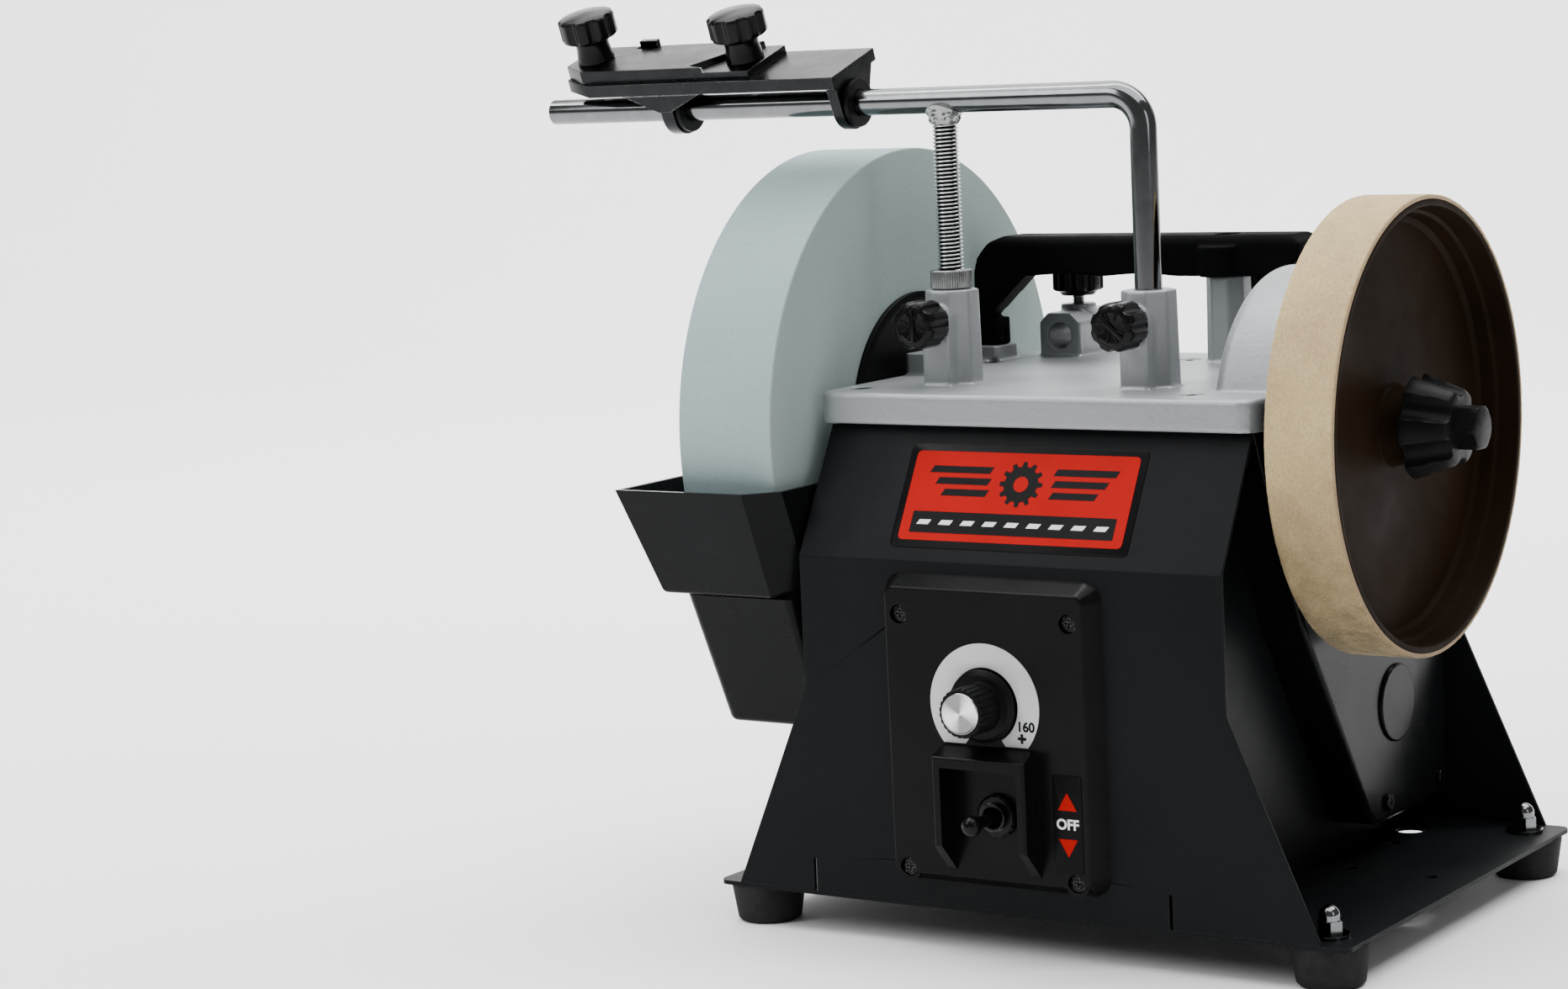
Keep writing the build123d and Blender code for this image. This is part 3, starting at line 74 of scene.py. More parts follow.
# ---------------------------------------------------------------- materials
class Graph:
    """A material with a Principled shader and short calls that add nodes."""

    def __init__(self, name, base, rough, metal=0.0, specular=0.5, sheen=0.0):
        self.mat = bpy.data.materials.new(name)
        self.mat.use_nodes = True
        self.tree = self.mat.node_tree
        self.bsdf = self.tree.nodes["Principled BSDF"]
        self.set("Base Color", (*base, 1))
        self.set("Roughness", rough)
        self.set("Metallic", metal)
        self.set("Specular IOR Level", specular)
        self.set("Sheen Weight", sheen)
        self.base, self.rough = base, rough
        self.mat.diffuse_color = (*base, 1)
        self.coords = self.add("ShaderNodeTexCoord").outputs["Object"]
        self.normal = None

    def set(self, socket, value):
        self.bsdf.inputs[socket].default_value = value

    def add(self, kind, **inputs):
        node = self.tree.nodes.new(kind)
        for key, value in inputs.items():
            self.wire(value, node.inputs[key.replace("_", " ")])
        return node

    def wire(self, value, socket):
        if isinstance(value, bpy.types.NodeSocket):
            self.tree.links.new(value, socket)
        else:
            socket.default_value = value

    def stretch(self, scale):
        node = self.add("ShaderNodeMapping", Vector=self.coords)
        node.inputs["Scale"].default_value = scale
        return node.outputs[0]

    def noise(self, scale, detail=3.0, rough=0.5, vector=None):
        node = self.add("ShaderNodeTexNoise", Vector=vector or self.coords, Scale=scale)
        node.inputs["Detail"].default_value = detail
        node.inputs["Roughness"].default_value = rough
        return node.outputs["Fac"]

    def voronoi(self, scale):
        node = self.add("ShaderNodeTexVoronoi", Vector=self.coords, Scale=scale)
        return node.outputs["Distance"]

    def band(self, value, low, high, to_low=0.0, to_high=1.0):
        node = self.add("ShaderNodeMapRange")
        sockets = ("Value", "From Min", "From Max", "To Min", "To Max")
        for key, x in zip(sockets, (value, low, high, to_low, to_high)):
            self.wire(x, node.inputs[key])
        return node.outputs[0]

    def math(self, kind, a, b=0.0):
        node = self.add("ShaderNodeMath")
        node.operation = kind
        self.wire(a, node.inputs[0])
        self.wire(b, node.inputs[1])
        return node.outputs[0]

    def mix(self, share, a, b):
        node = self.add("ShaderNodeMix")
        node.data_type = "RGBA"
        colours = [(*c, 1) if isinstance(c, tuple) and len(c) == 3 else c for c in (a, b)]
        for value, index in zip((share, *colours), (0, 6, 7)):
            self.wire(value, node.inputs[index])
        return node.outputs[2]

    def axis(self, index):
        node = self.add("ShaderNodeSeparateXYZ", Vector=self.coords)
        return node.outputs[index]

    def bump(self, height, strength, distance):
        node = self.add("ShaderNodeBump", Height=height, Strength=strength, Distance=distance)
        if self.normal:
            self.wire(self.normal, node.inputs["Normal"])
        self.normal = node.outputs[0]
        self.wire(self.normal, self.bsdf.inputs["Normal"])

    def edges(self, radius, low=0.02, high=0.25):
        """1 on sharp edges and 0 on flats, broken up by noise."""
        bevel = self.add("ShaderNodeBevel", Radius=radius)
        bevel.samples = 6
        geometry = self.add("ShaderNodeNewGeometry")
        dot = self.add("ShaderNodeVectorMath")
        dot.operation = "DOT_PRODUCT"
        self.wire(bevel.outputs[0], dot.inputs[0])
        self.wire(geometry.outputs["Normal"], dot.inputs[1])
        edge = self.math("SUBTRACT", 1.0, dot.outputs["Value"])
        rough = self.noise(600, 4)
        return self.math("MULTIPLY", self.band(edge, low, high), self.band(rough, 0.35, 0.6))

    def colour(self, socket):
        self.wire(socket, self.bsdf.inputs["Base Color"])

    def roughness(self, value, spread, scale=25.0):
        smudge = self.noise(scale, 5, 0.65)
        self.wire(self.band(smudge, 0.3, 0.7, value - spread, value + spread), self.bsdf.inputs["Roughness"])


def scaled(colour, k):
    return tuple(min(1.0, c * k) for c in colour)


def plastic(name, base, rough, grain=0.0, wear_and_painted_shade=0.06, specular=0.3):
    g = Graph(name, base, rough, specular=specular)
    dust = g.noise(900, 4, 0.7)
    tone = g.mix(g.band(g.noise(18, 4), 0.35, 0.7), scaled(base, 0.8), scaled(base, 1.3))
    tone = g.mix(g.math("MULTIPLY", g.band(dust, 0.68, 0.76), 0.008), tone, (0.25, 0.25, 0.24))
    g.colour(g.mix(g.math("MULTIPLY", g.edges(0.0005), wear_and_painted_shade), tone, (0.16, 0.16, 0.165)))
    g.roughness(rough, rough * 0.22)
    if grain:
        g.bump(g.noise(2200, 3), grain, 0.0001)
    else:
        g.bump(g.noise(60, 2), 0.05, 0.0006)
    return g.mat


def metal(name, base, rough, brush=None, mottle=0.15, wear=None):
    g = Graph(name, base, rough, metal=1.0)
    tone = g.mix(g.band(g.noise(140, 5, 0.6), 0.3, 0.7), scaled(base, 1 - mottle), scaled(base, 1 + mottle))
    if wear:
        tone = g.mix(g.edges(0.0007), tone, wear)
    g.colour(tone)
    g.roughness(rough, rough * 0.3, 40)
    if brush:
        g.bump(g.noise(400, 2, vector=g.stretch(brush)), 0.10, 0.0001)
    else:
        g.bump(g.noise(1500, 3), 0.06, 0.0001)
    return g.mat


def leg_steel(axis_x, axis_y, root, crest):
    """Painted highlight on the thread crests and painted shade in the roots, by distance from the threaded
    leg's axis.
    """
    g = Graph("threaded_leg_painted_light", (0.34, 0.345, 0.35), 0.24, metal=1.0)
    across = g.math("SUBTRACT", g.axis(0), axis_x)
    deep = g.math("SUBTRACT", g.axis(1), axis_y)
    square = g.math("ADD", g.math("MULTIPLY", across, across), g.math("MULTIPLY", deep, deep))
    # Painted light: near black in the thread roots, bright on the crests.
    height = g.band(g.math("SQRT", square), root, crest)
    g.colour(g.mix(height, (0.012, 0.012, 0.013), (0.62, 0.63, 0.64)))
    g.roughness(0.24, 0.06, 40)
    return g.mat


def powder_coat():
    base = (0.0045, 0.0052, 0.0060)
    g = Graph("powder_coat_black", base, 0.45, specular=0.07)
    fleck = g.band(g.voronoi(1700), 0.0, 0.35)
    tone = g.mix(fleck, (0.010, 0.011, 0.0122), base)
    tone = g.mix(g.band(g.noise(9, 4), 0.35, 0.7), scaled(base, 0.8), tone)
    g.colour(g.mix(g.math("MULTIPLY", g.edges(0.0009), 0.14), tone, (0.13, 0.135, 0.14)))
    g.roughness(0.45, 0.07, 14)
    g.bump(g.noise(1300, 2), 0.16, 0.00025)
    g.bump(g.noise(120, 2), 0.05, 0.0008)
    return g.mat


def cast_paint():
    base = (0.27, 0.285, 0.295)
    g = Graph("cast_silver_paint", base, 0.42, metal=0.35, specular=0.4)
    flake = g.band(g.voronoi(3600), 0.05, 0.45)
    tone = g.mix(flake, scaled(base, 1.30), scaled(base, 0.92))
    tone = g.mix(g.band(g.noise(11, 4), 0.4, 0.75), tone, scaled(base, 0.82))
    tone = g.mix(g.math("MULTIPLY", g.edges(0.0016), 0.3), tone, (0.46, 0.47, 0.48))
    pits = g.band(g.noise(420, 3, 0.6), 0.68, 0.75)
    g.colour(g.mix(g.math("MULTIPLY", pits, 0.45), tone, scaled(base, 0.45)))
    g.roughness(0.40, 0.07, 30)
    g.bump(g.noise(340, 3, 0.55), 0.42, 0.0006)
    g.bump(g.noise(1100, 2), 0.12, 0.0002)
    return g.mat


def stone_grit():
    base = (0.315, 0.415, 0.425)
    g = Graph("stone_grit", base, 0.88, specular=0.2)
    grain = g.noise(2600, 4, 0.7)
    tone = g.mix(g.band(grain, 0.35, 0.65), scaled(base, 0.80), scaled(base, 1.14))
    spark = g.band(g.voronoi(1500), 0.0, 0.14)
    tone = g.mix(spark, (0.50, 0.60, 0.61), tone)
    dark = g.band(g.noise(950, 2, 0.5), 0.66, 0.74)
    tone = g.mix(g.math("MULTIPLY", dark, 0.5), tone, (0.12, 0.165, 0.165))
    cloud = g.band(g.noise(16, 5, 0.6), 0.42, 0.72)
    tone = g.mix(g.math("MULTIPLY", cloud, 0.35), tone, (0.27, 0.33, 0.31))
    # Painted shade: the stone's inner face, towards the machine, is mixed to a darker, greener tone.
    side = g.band(g.axis(0), -0.1150, -0.1142)
    tone = g.mix(g.math("MULTIPLY", side, 0.55), tone, (0.245, 0.30, 0.275))
    g.colour(g.mix(g.math("MULTIPLY", g.edges(0.0016, 0.01, 0.2), 0.4), tone, (0.40, 0.48, 0.48)))
    g.bump(grain, 0.5, 0.0004)
    g.bump(g.noise(500, 3, 0.6), 0.25, 0.0006)
    return g.mat


def suede():
    base = (0.56, 0.42, 0.215)
    g = Graph("leather_suede", base, 0.92, specular=0.15, sheen=0.2)
    g.set("Sheen Roughness", 0.5)
    g.set("Sheen Tint", (0.9, 0.8, 0.65, 1))
    fibre = g.noise(900, 5, 0.75, g.stretch((1.7, 0.6, 0.6)))
    tone = g.mix(g.band(fibre, 0.3, 0.7), scaled(base, 0.66), scaled(base, 1.20))
    patch = g.band(g.noise(38, 5, 0.7), 0.42, 0.66)
    tone = g.mix(g.math("MULTIPLY", patch, 0.5), tone, (0.33, 0.235, 0.135))
    # Painted shade: the leather is darker towards the bottom of the wheel, where its underside is in shade,
    # broken up by noise.
    low = g.band(g.axis(2), 0.135, 0.235, 1.0, 0.0)
    wear_and_painted_shade = g.math("MULTIPLY", low, g.band(g.noise(90, 5, 0.7), 0.3, 0.65, 0.5, 1.0))
    tone = g.mix(wear_and_painted_shade, tone, (0.115, 0.085, 0.038))
    fluff = g.band(g.noise(1500, 3, 0.7, g.stretch((1.0, 0.5, 1.0))), 0.60, 0.66)
    tone = g.mix(g.math("MULTIPLY", fluff, 0.6), tone, (0.62, 0.50, 0.30))
    side = g.band(g.axis(0), 0.1455, 0.1460)
    g.colour(g.mix(g.math("MULTIPLY", side, 0.7), tone, (0.20, 0.13, 0.08)))
    g.bump(fibre, 0.6, 0.0007)
    g.bump(g.noise(240, 4, 0.7), 0.5, 0.0010)
    return g.mat


def rubber():
    base = (0.009, 0.009, 0.0095)
    g = Graph("rubber_black", base, 0.72, specular=0.1)
    tone = g.mix(g.band(g.noise(60, 5, 0.7), 0.4, 0.75), base, (0.02, 0.02, 0.02))
    g.colour(g.mix(g.math("MULTIPLY", g.edges(0.0008), 0.25), tone, (0.09, 0.09, 0.09)))
    g.roughness(0.72, 0.1)
    g.bump(g.noise(900, 4, 0.6), 0.3, 0.0003)
    return g.mat


def turned_metal_painted_highlight(name, base, centre):
    """Turned metal that faces along Y, with a painted highlight: two opposite bright fans painted about its
    centre (x, z).
    """
    g = Graph(name, base, 0.27, metal=1.0)
    across = g.math("SUBTRACT", g.axis(0), centre[0])
    up = g.math("SUBTRACT", g.axis(2), centre[1])
    turn = g.math("ADD", g.math("ARCTAN2", up, across), -0.45)
    # Painted highlight: two bright fans opposite each other, darker between them.
    painted_highlight_fan = g.band(g.math("COSINE", g.math("MULTIPLY", turn, 2.0)), -0.6, 1.0)
    painted_highlight_fan = g.math("MULTIPLY", painted_highlight_fan, g.band(g.noise(9000, 2), 0.2, 0.7, 0.75, 1.0))
    g.colour(g.mix(painted_highlight_fan, scaled(base, 0.30), scaled(base, 1.3)))
    g.roughness(0.27, 0.05, 200)
    return g.mat


def printed(name, base, rough=0.3):
    g = Graph(name, base, rough, specular=0.05)
    tone = g.mix(g.band(g.noise(30, 4), 0.3, 0.75), scaled(base, 0.9), scaled(base, 1.1))
    scuff = g.band(g.noise(700, 4, 0.75, g.stretch((0.2, 1, 1))), 0.68, 0.76)
    g.colour(g.mix(g.math("MULTIPLY", scuff, 0.25), tone, scaled(base, 0.6)))
    g.roughness(rough, 0.06)
    g.bump(g.noise(260, 2), 0.04, 0.0002)
    return g.mat


M = {
    "black_powder_coat": powder_coat(),
    "silver_paint": cast_paint(),
    "zinc_steel": metal("zinc_plate", (0.25, 0.253, 0.256), 0.25, mottle=0.25),
    "chrome": metal("chrome_plate", (0.15, 0.154, 0.158), 0.13, mottle=0.10),
    "steel": metal("steel_machined", (0.46, 0.46, 0.47), 0.30, brush=(6, 0.4, 0.4)),
    "dark_steel": metal(
        "steel_dark", (0.0165, 0.0175, 0.0185), 0.29, brush=(0.4, 3, 3), wear=(0.55, 0.55, 0.55)
    ),
    "black_steel": metal(
        "steel_blackened", (0.011, 0.011, 0.0115), 0.32, mottle=0.2, wear=(0.16, 0.16, 0.16)
    ),
    "stone": stone_grit(),
    "gloss_black_plastic": plastic("plastic_gloss_black", (0.0030, 0.0034, 0.0038), 0.25, specular=0.07),
    "panel_plastic": plastic("plastic_panel_black", (0.0026, 0.0026, 0.0028), 0.30, specular=0.07),
    "knob_plastic": plastic("plastic_knob_black", (0.0024, 0.0024, 0.0026), 0.24, wear_and_painted_shade=0.10, specular=0.12),
    "matte_black_plastic": plastic(
        "plastic_satin_black", (0.0036, 0.0038, 0.0040), 0.38, grain=0.25, specular=0.07
    ),
    "hone_plastic": plastic(
        "plastic_hone_wheel", (0.0100, 0.0054, 0.0026), 0.50, grain=0.08, wear_and_painted_shade=0.02, specular=0.02
    ),
    "handle_plastic": plastic(
        "plastic_handle_black", (0.0034, 0.0036, 0.0038), 0.6, grain=0.25, specular=0.01
    ),
    "leg_steel": leg_steel(LEG_X * MM, BAR_Y * MM, 0.0050, 0.0057),
    "leather": suede(),
    "rubber": rubber(),
    "aluminium": metal("aluminium_turned", (0.66, 0.67, 0.68), 0.26, brush=(5, 0.4, 0.4)),
    "cap": turned_metal_painted_highlight("aluminium_cap_painted_highlight", (0.66, 0.665, 0.67), (-0.006, 0.1125)),
    "dial_grey": printed("print_grey", (0.50, 0.505, 0.51)),
    "label_red": printed("print_red", (0.36, 0.0008, 0.0006), 0.45),
    "label_black": printed("print_black", (0.004, 0.004, 0.0045), 0.3),
    "print_white": printed("print_white", (0.78, 0.78, 0.77), 0.4),
    "board_green": printed("board_green", (0.02, 0.12, 0.05), 0.35),
    "copper": metal("copper_winding", (0.66, 0.30, 0.17), 0.35, brush=(5, 0.5, 0.5)),
}


# ---------------------------------------------------------------- mesh helpers
def piece(name, verts, faces, material, body, stands_for=None, sharp=35.0):
    """A mesh object in the row frame, in metres from points in millimetres."""
    mesh = bpy.data.meshes.new(name)
    mesh.from_pydata([Vector(v) * MM for v in verts], [], faces)
    mesh.validate()
    bm = bmesh.new()
    bm.from_mesh(mesh)
    bmesh.ops.remove_doubles(bm, verts=bm.verts, dist=1e-6)
    bmesh.ops.recalc_face_normals(bm, faces=bm.faces)
    bm.to_mesh(mesh)
    bm.free()
    return place(name, mesh, material, body, stands_for, sharp)


def place(name, mesh, material, body, stands_for=None, sharp=35.0):
    """Puts a mesh in the scene, on its body, with its material, and hides the CAD node it stands for."""
    obj = bpy.data.objects.new(name, mesh)
    bpy.context.scene.collection.objects.link(obj)
    mesh.materials.clear()
    mesh.materials.append(M[material])
    mesh.shade_smooth()
    mesh.set_sharp_from_angle(angle=math.radians(sharp))
    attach(obj, body)
    if stands_for:
        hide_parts(stands_for)
    return obj


def rounded(points, radius):
    """A closed outline with each corner rounded. A corner may state its own radius as a third value."""
    steps = 4
    out = []
    n = len(points)
    for i, p in enumerate(points):
        here = Vector(p[:2])
        r = p[2] if len(p) > 2 else radius
        before, after = Vector(points[i - 1][:2]) - here, Vector(points[(i + 1) % n][:2]) - here
        turn = math.pi - before.angle(after)
        if r <= 0 or turn < 0.02:
            out.append(tuple(here))
            continue
        cut = r * math.tan(turn / 2)
        cut = min(cut, 0.48 * before.length, 0.48 * after.length)
        a, b = here + before.normalized() * cut, here + after.normalized() * cut
        for k in range(steps + 1):
            t = k / steps
            out.append(tuple(a * (1 - t) ** 2 + here * 2 * t * (1 - t) + b * t * t))
    return out


def lathe_mesh(profile, segments, closed, radius, placing):
    """Rings about Z from a list of (z, r). radius(angle, z, r) may change a point's radius."""
    verts, faces = [], []
    rows = len(profile)
    for z, r in profile:
        for k in range(segments):
            a = 2 * math.pi * k / segments
            rr = radius(a, z, r) if radius else r
            verts.append(placing @ Vector((rr * math.cos(a), rr * math.sin(a), z)))
    spans = rows if closed else rows - 1
    for i in range(spans):
        j = (i + 1) % rows
        for k in range(segments):
            m = (k + 1) % segments
            faces.append((i * segments + k, i * segments + m, j * segments + m, j * segments + k))
    return verts, faces


def on_spindle(x=0.0):
    """Places +Z of a turned piece along the spindle, which runs along +X."""
    return Matrix.Translation((x, 0.0, SPINDLE_HEIGHT)) @ Matrix.Rotation(math.pi / 2, 4, "Y")


def along_minus_y(x, y, z):
    """Places +Z of a turned piece along -Y, out of the machine's front."""
    return Matrix.Translation((x, y, z)) @ Matrix.Rotation(math.pi / 2, 4, "X")


def box_outline(x0, x1, y0, y1):
    return [(x0, y0), (x1, y0), (x1, y1), (x0, y1)]


def turned(
    name, profile, material, body, placing, stands_for=None, segments=128, corner=0.6,
    radius=None,
):
    """A closed ring from a (z, r) profile, turned about Z and then placed."""
    verts, faces = lathe_mesh(rounded(profile, corner), segments, True, radius, placing)
    return piece(name, verts, faces, material, body, stands_for)


def plate(name, outline, thick, material, body, placing, bevel=0.3, stands_for=None):
    """A flat piece from a rounded (x, y) outline, thick along +Z, with bevelled rims."""
    bm = bmesh.new()
    face = bm.faces.new([bm.verts.new((x, y, 0)) for x, y in outline])
    made = bmesh.ops.extrude_face_region(bm, geom=[face])
    lifted = [v for v in made["geom"] if isinstance(v, bmesh.types.BMVert)]
    bmesh.ops.translate(bm, verts=lifted, vec=(0, 0, thick))
    bmesh.ops.recalc_face_normals(bm, faces=bm.faces)
    if bevel:
        rims = [e for e in bm.edges if abs(e.verts[0].co.z - e.verts[1].co.z) < 1e-6]
        bmesh.ops.bevel(
            bm, geom=rims, offset=bevel, segments=2, profile=0.5, affect="EDGES", clamp_overlap=True
        )
    mesh = bpy.data.meshes.new(name)
    bm.to_mesh(mesh)
    bm.free()
    mesh.transform(Matrix.Scale(MM, 4) @ placing)
    return place(name, mesh, material, body, stands_for)


def soft_min(a, b, k):
    """The smaller of a and b, blended where they are within k of each other."""
    h = max(0.0, min(1.0, 0.5 + 0.5 * (b - a) / k))
    return b * (1 - h) + a * h - k * h * (1 - h)


def scooped(angle, outer, lobes, centre, scoop):
    """Radius of a round head with round scoops between its lobes."""
    step = 2 * math.pi / lobes
    off = (angle + step / 2) % step - step / 2
    reach = centre * math.sin(off)
    if abs(reach) >= scoop:
        return outer
    return soft_min(outer, centre * math.cos(off) - math.sqrt(scoop * scoop - reach * reach), 0.7)


# ---------------------------------------------------------------- CAD nodes that stay
def keep(name, material, bevel):
    """Gives a CAD node its material, and rounds its sharp edges with modifiers."""
    obj = nodes[name]
    obj.data.materials.clear()
    obj.data.materials.append(M[material])
    for polygon in obj.data.polygons:
        polygon.material_index = 0
    obj.data.shade_smooth()
    weld = obj.modifiers.new("weld", "WELD")
    weld.merge_threshold = 2e-6
    edge = obj.modifiers.new("edge", "BEVEL")
    edge.width = bevel * MM
    edge.segments = 2
    edge.limit_method = "ANGLE"
    edge.angle_limit = math.radians(32)
    edge.miter_outer = "MITER_ARC"
    edge.use_clamp_overlap = True
    weighted = obj.modifiers.new("weighted", "WEIGHTED_NORMAL")
    weighted.weight = 80


def melted(name, source, material, body, voxel, rounds):
    """A casting or moulding: the CAD solid remeshed and relaxed, so that every edge is softly round."""
    mesh = nodes[source].data.copy()
    obj = bpy.data.objects.new(name + "_raw", mesh)
    bpy.context.scene.collection.objects.link(obj)
    weld = obj.modifiers.new("weld", "WELD")
    weld.merge_threshold = 2e-6
    remesh = obj.modifiers.new("remesh", "REMESH")
    remesh.mode = "VOXEL"
    remesh.voxel_size = voxel * MM
    relax = obj.modifiers.new("relax", "SMOOTH")
    relax.factor = 0.5
    relax.iterations = rounds
    graph = bpy.context.evaluated_depsgraph_get()
    final = bpy.data.meshes.new_from_object(obj.evaluated_get(graph), depsgraph=graph)
    bpy.data.objects.remove(obj)
    final.name = name
    return place(name, final, material, body, source, 180.0)


KEPT = {
    "front_panel": ("black_powder_coat", 0.35),
    "rear_panel": ("black_powder_coat", 0.35),
    "base_plate": ("black_powder_coat", 0.3),
    "left_wall": ("black_powder_coat", 0.3),
    "right_wall": ("black_powder_coat", 0.3),
    "belt_cover": ("gloss_black_plastic", 0.5),
    "case_screws": ("black_steel", 0.15),
    "foot_bolts": ("steel", 0.3),
    "acorn_nuts": ("chrome", 0.25),
    "handle_screws": ("dark_steel", 0.2),
    "spindle": ("steel", 0.2),
    "stone_flanges": ("matte_black_plastic", 0.3),
    "stone_nut": ("zinc_steel", 0.3),
    "stone_bush": ("matte_black_plastic", 0.2),
    "drive_pulley": ("matte_black_plastic", 0.3),
    "drive_belt": ("rubber", 0.2),
    "motor_pulley": ("steel", 0.2),
    "motor_shaft": ("steel", 0.2),
    "motor_armature": ("copper", 0.3),
    "motor_body": ("black_powder_coat", 0.4),
    "motor_end_bells": ("aluminium", 0.4),
    "motor_bracket": ("steel", 0.3),
    "motor_screws": ("zinc_steel", 0.2),
    "control_panel": ("panel_plastic", 0.45),
    "panel_screws": ("black_steel", 0.12),
    "speed_knob_shaft": ("steel", 0.1),
    "potentiometer": ("zinc_steel", 0.2),
    "toggle_switch": ("black_steel", 0.15),
    "control_board": ("board_green", 0.1),
    "inlet_gland": ("matte_black_plastic", 0.35),
    "jig_base": ("dark_steel", 0.45),
    "jig_clamp_plate": ("dark_steel", 0.5),
    "jig_bushes": ("matte_black_plastic", 0.3),
    "bearings": ("steel", 0.15),
    "water_trough": ("gloss_black_plastic", 0.35),
    "splash_tray": ("gloss_black_plastic", 0.45),
    "trough_hanger": ("black_powder_coat", 0.3),
}
for node_name, (finish, width) in KEPT.items():
    keep(node_name, finish, width)

melted("cast_top", "top_casting", "silver_paint", "machine", 0.8, 3)
melted("handle_moulding", "carrying_handle", "handle_plastic", "machine", 0.8, 4)


# ---------------------------------------------------------------- wheels on the spindle
SPIN = on_spindle()
turned(
    "stone", [(-164, 9, 0), (-164, 125), (-114, 125), (-114, 9, 0)], "stone", "spindle_assembly", SPIN,
    "grinding_stone", 256, 1.0,
)
DISH = [
    (115, 6, 0), (115, 20), (124, 22, 2), (124, 91, 2), (115, 94), (115, 98), (146, 98), (146, 95),
    (137, 93.5), (136, 92), (130, 91), (128, 89, 1.5), (128, 18, 1.5), (137.7, 15.5), (139.7, 15),
    (139.7, 6, 0),
]
turned(
    "hone_dish", DISH, "hone_plastic", "spindle_assembly", SPIN, "honing_wheel", 224, 0.8,
)


def nap(angle, z, r):
    """Worn suede: the outer face and its edges are pushed in a little, unevenly."""
    if r < 99:
        return r
    p = Vector((math.cos(angle) * 9, math.sin(angle) * 9, z * 0.12))
    fray = abs(noise.noise(p * 4.2)) + 0.6 * abs(noise.noise(p * 11))
    edge = 1.0 + 2.2 * max(0.0, 1 - min(z - 115, 146 - z) / 2.0)
    return r - 0.16 * fray * edge


def leather_strip():
    outer = [(115.0 + 31.0 * k / 40, 100.0) for k in range(41)]
    outer[0], outer[-1] = (115.35, 99.9), (145.65, 99.9)
    profile = [(115.0, 98.0), (115.0, 99.4), *outer, (146.0, 99.4), (146.0, 98.0)]
    verts, faces = lathe_mesh(profile, 420, True, nap, SPIN)
    piece("hone_leather", verts, faces, "leather", "spindle_assembly", "honing_leather", 60)


leather_strip()


def hand_nut():
    """Conical nut with six scoops and a closed hexagon nose."""
    base, top, length, neck = 23.5, 16.5, 20.0, 10.4
    profile = [(27.0, 0.02), (27.0, 6.0), (0, 6.0), (0, base - 1.2), (0.5, base - 0.35)]
    profile += [(z, base - (base - top) * z / length) for z in (1.4, 4, 6.5, 9, 11.5, 14, 16.5, 18.5)]
    profile += [(19.6, top - 0.4), (20.0, top - 1.3), (20.0, neck + 1.0), (20.3, neck + 0.2), (21.2, neck)]
    profile += [(23, neck), (26, neck), (28.6, neck - 0.2), (29.4, neck - 1.0)]
    profile += [(30.0, neck - 2.2), (30.0, 0.02)]

    def radius(angle, z, r):
        if r > neck + 0.9:
            centre = 22.5 - math.tan(math.radians(16)) * (z - 10)
            return min(r, scooped(angle, r, 6, centre, 6.5))
        if z > 20.1 and r > 7.0:
            off = (angle + math.pi / 6) % (math.pi / 3) - math.pi / 6
            return min(r, soft_min(r, 9.0 / math.cos(off), 0.25))
        return r

    verts, faces = lathe_mesh(profile, 240, False, radius, on_spindle(139.7))
    piece("hone_hand_nut", verts, faces, "matte_black_plastic", "spindle_assembly", "honing_nut", 40)


hand_nut()


# ---------------------------------------------------------------- knobs
def knob_bar(name, body, placing, size, lift):
    """Raised bar across a knob's end, rounded off."""
    half_length, half_width = size
    outline = rounded(box_outline(-half_length, half_length, -half_width, half_width), 0.8)
    where = placing @ Matrix.Translation((0, 0, lift))
    return plate(name, outline, 1.0, "knob_plastic", body, where, 0.3)


def ribbed_end(top, outer):
    """Profile of a dished end with a raised rim."""
    return [
        (top - 1.8, outer - 0.15), (top - 0.9, outer - 0.6), (top - 0.3, outer - 1.5), (top, outer - 2.9),
        (top, outer - 3.6), (top - 0.7, outer - 4.2), (top - 0.9, outer - 5.2), (top - 0.9, 0.02),
    ]


def domed_end(top, outer):
    return [
        (top - 2.9, outer), (top - 2.1, outer - 0.4), (top - 1.5, outer - 1.3), (top - 1.1, outer - 2.8),
        (top - 0.6, outer - 5.5), (top - 0.2, outer - 9.0), (top, 0.02),
    ]


def head_start(neck):
    return neck[-1][0] - 0.01


def head_steps(top, neck):
    """Seven heights up the side of a knob's head."""
    start = neck[-1][0] + 0.4
    end = top - 2.6
    return [start + (end - start) * k / 6 for k in range(7)]


def lobed_knob(name, body, node, placing, shape, stud, end=ribbed_end):
    """Moulded knob with scoops round its head and a steel stud. A ribbed end also has bars on it."""
    outer, lobes, centre, scoop, top, neck = shape
    profile = [(0.0, 3.0), *neck]
    profile += [(z, outer) for z in head_steps(top, neck)]
    profile += end(top, outer)

    def radius(angle, z, r):
        if r < outer - 3.3 or z < head_start(neck):
            return r
        return min(r, scooped(angle, r, lobes, centre, scoop))

    verts, faces = lathe_mesh(profile, 192, False, radius, placing)
    piece(name, verts, faces, "knob_plastic", body, node, 38)
    thread(name + "_stud", body, placing, 3.0, 1.0, -stud, 2.0)
    if end is domed_end:
        return
    start = 0.8
    knob_bar(name + "_bar", body, placing @ Matrix.Rotation(start, 4, "Z"), (outer - 3.6, 1.1), top - 1.0)
    for k in range(lobes):
        turn = Matrix.Rotation(start + math.pi / lobes + 2 * math.pi * k / lobes, 4, "Z")
        rib = placing @ turn @ Matrix.Translation((outer - 6.0, 0, 0))
        knob_bar(f"{name}_rib_{k}", body, rib, (1.9, 0.45), top - 1.3)


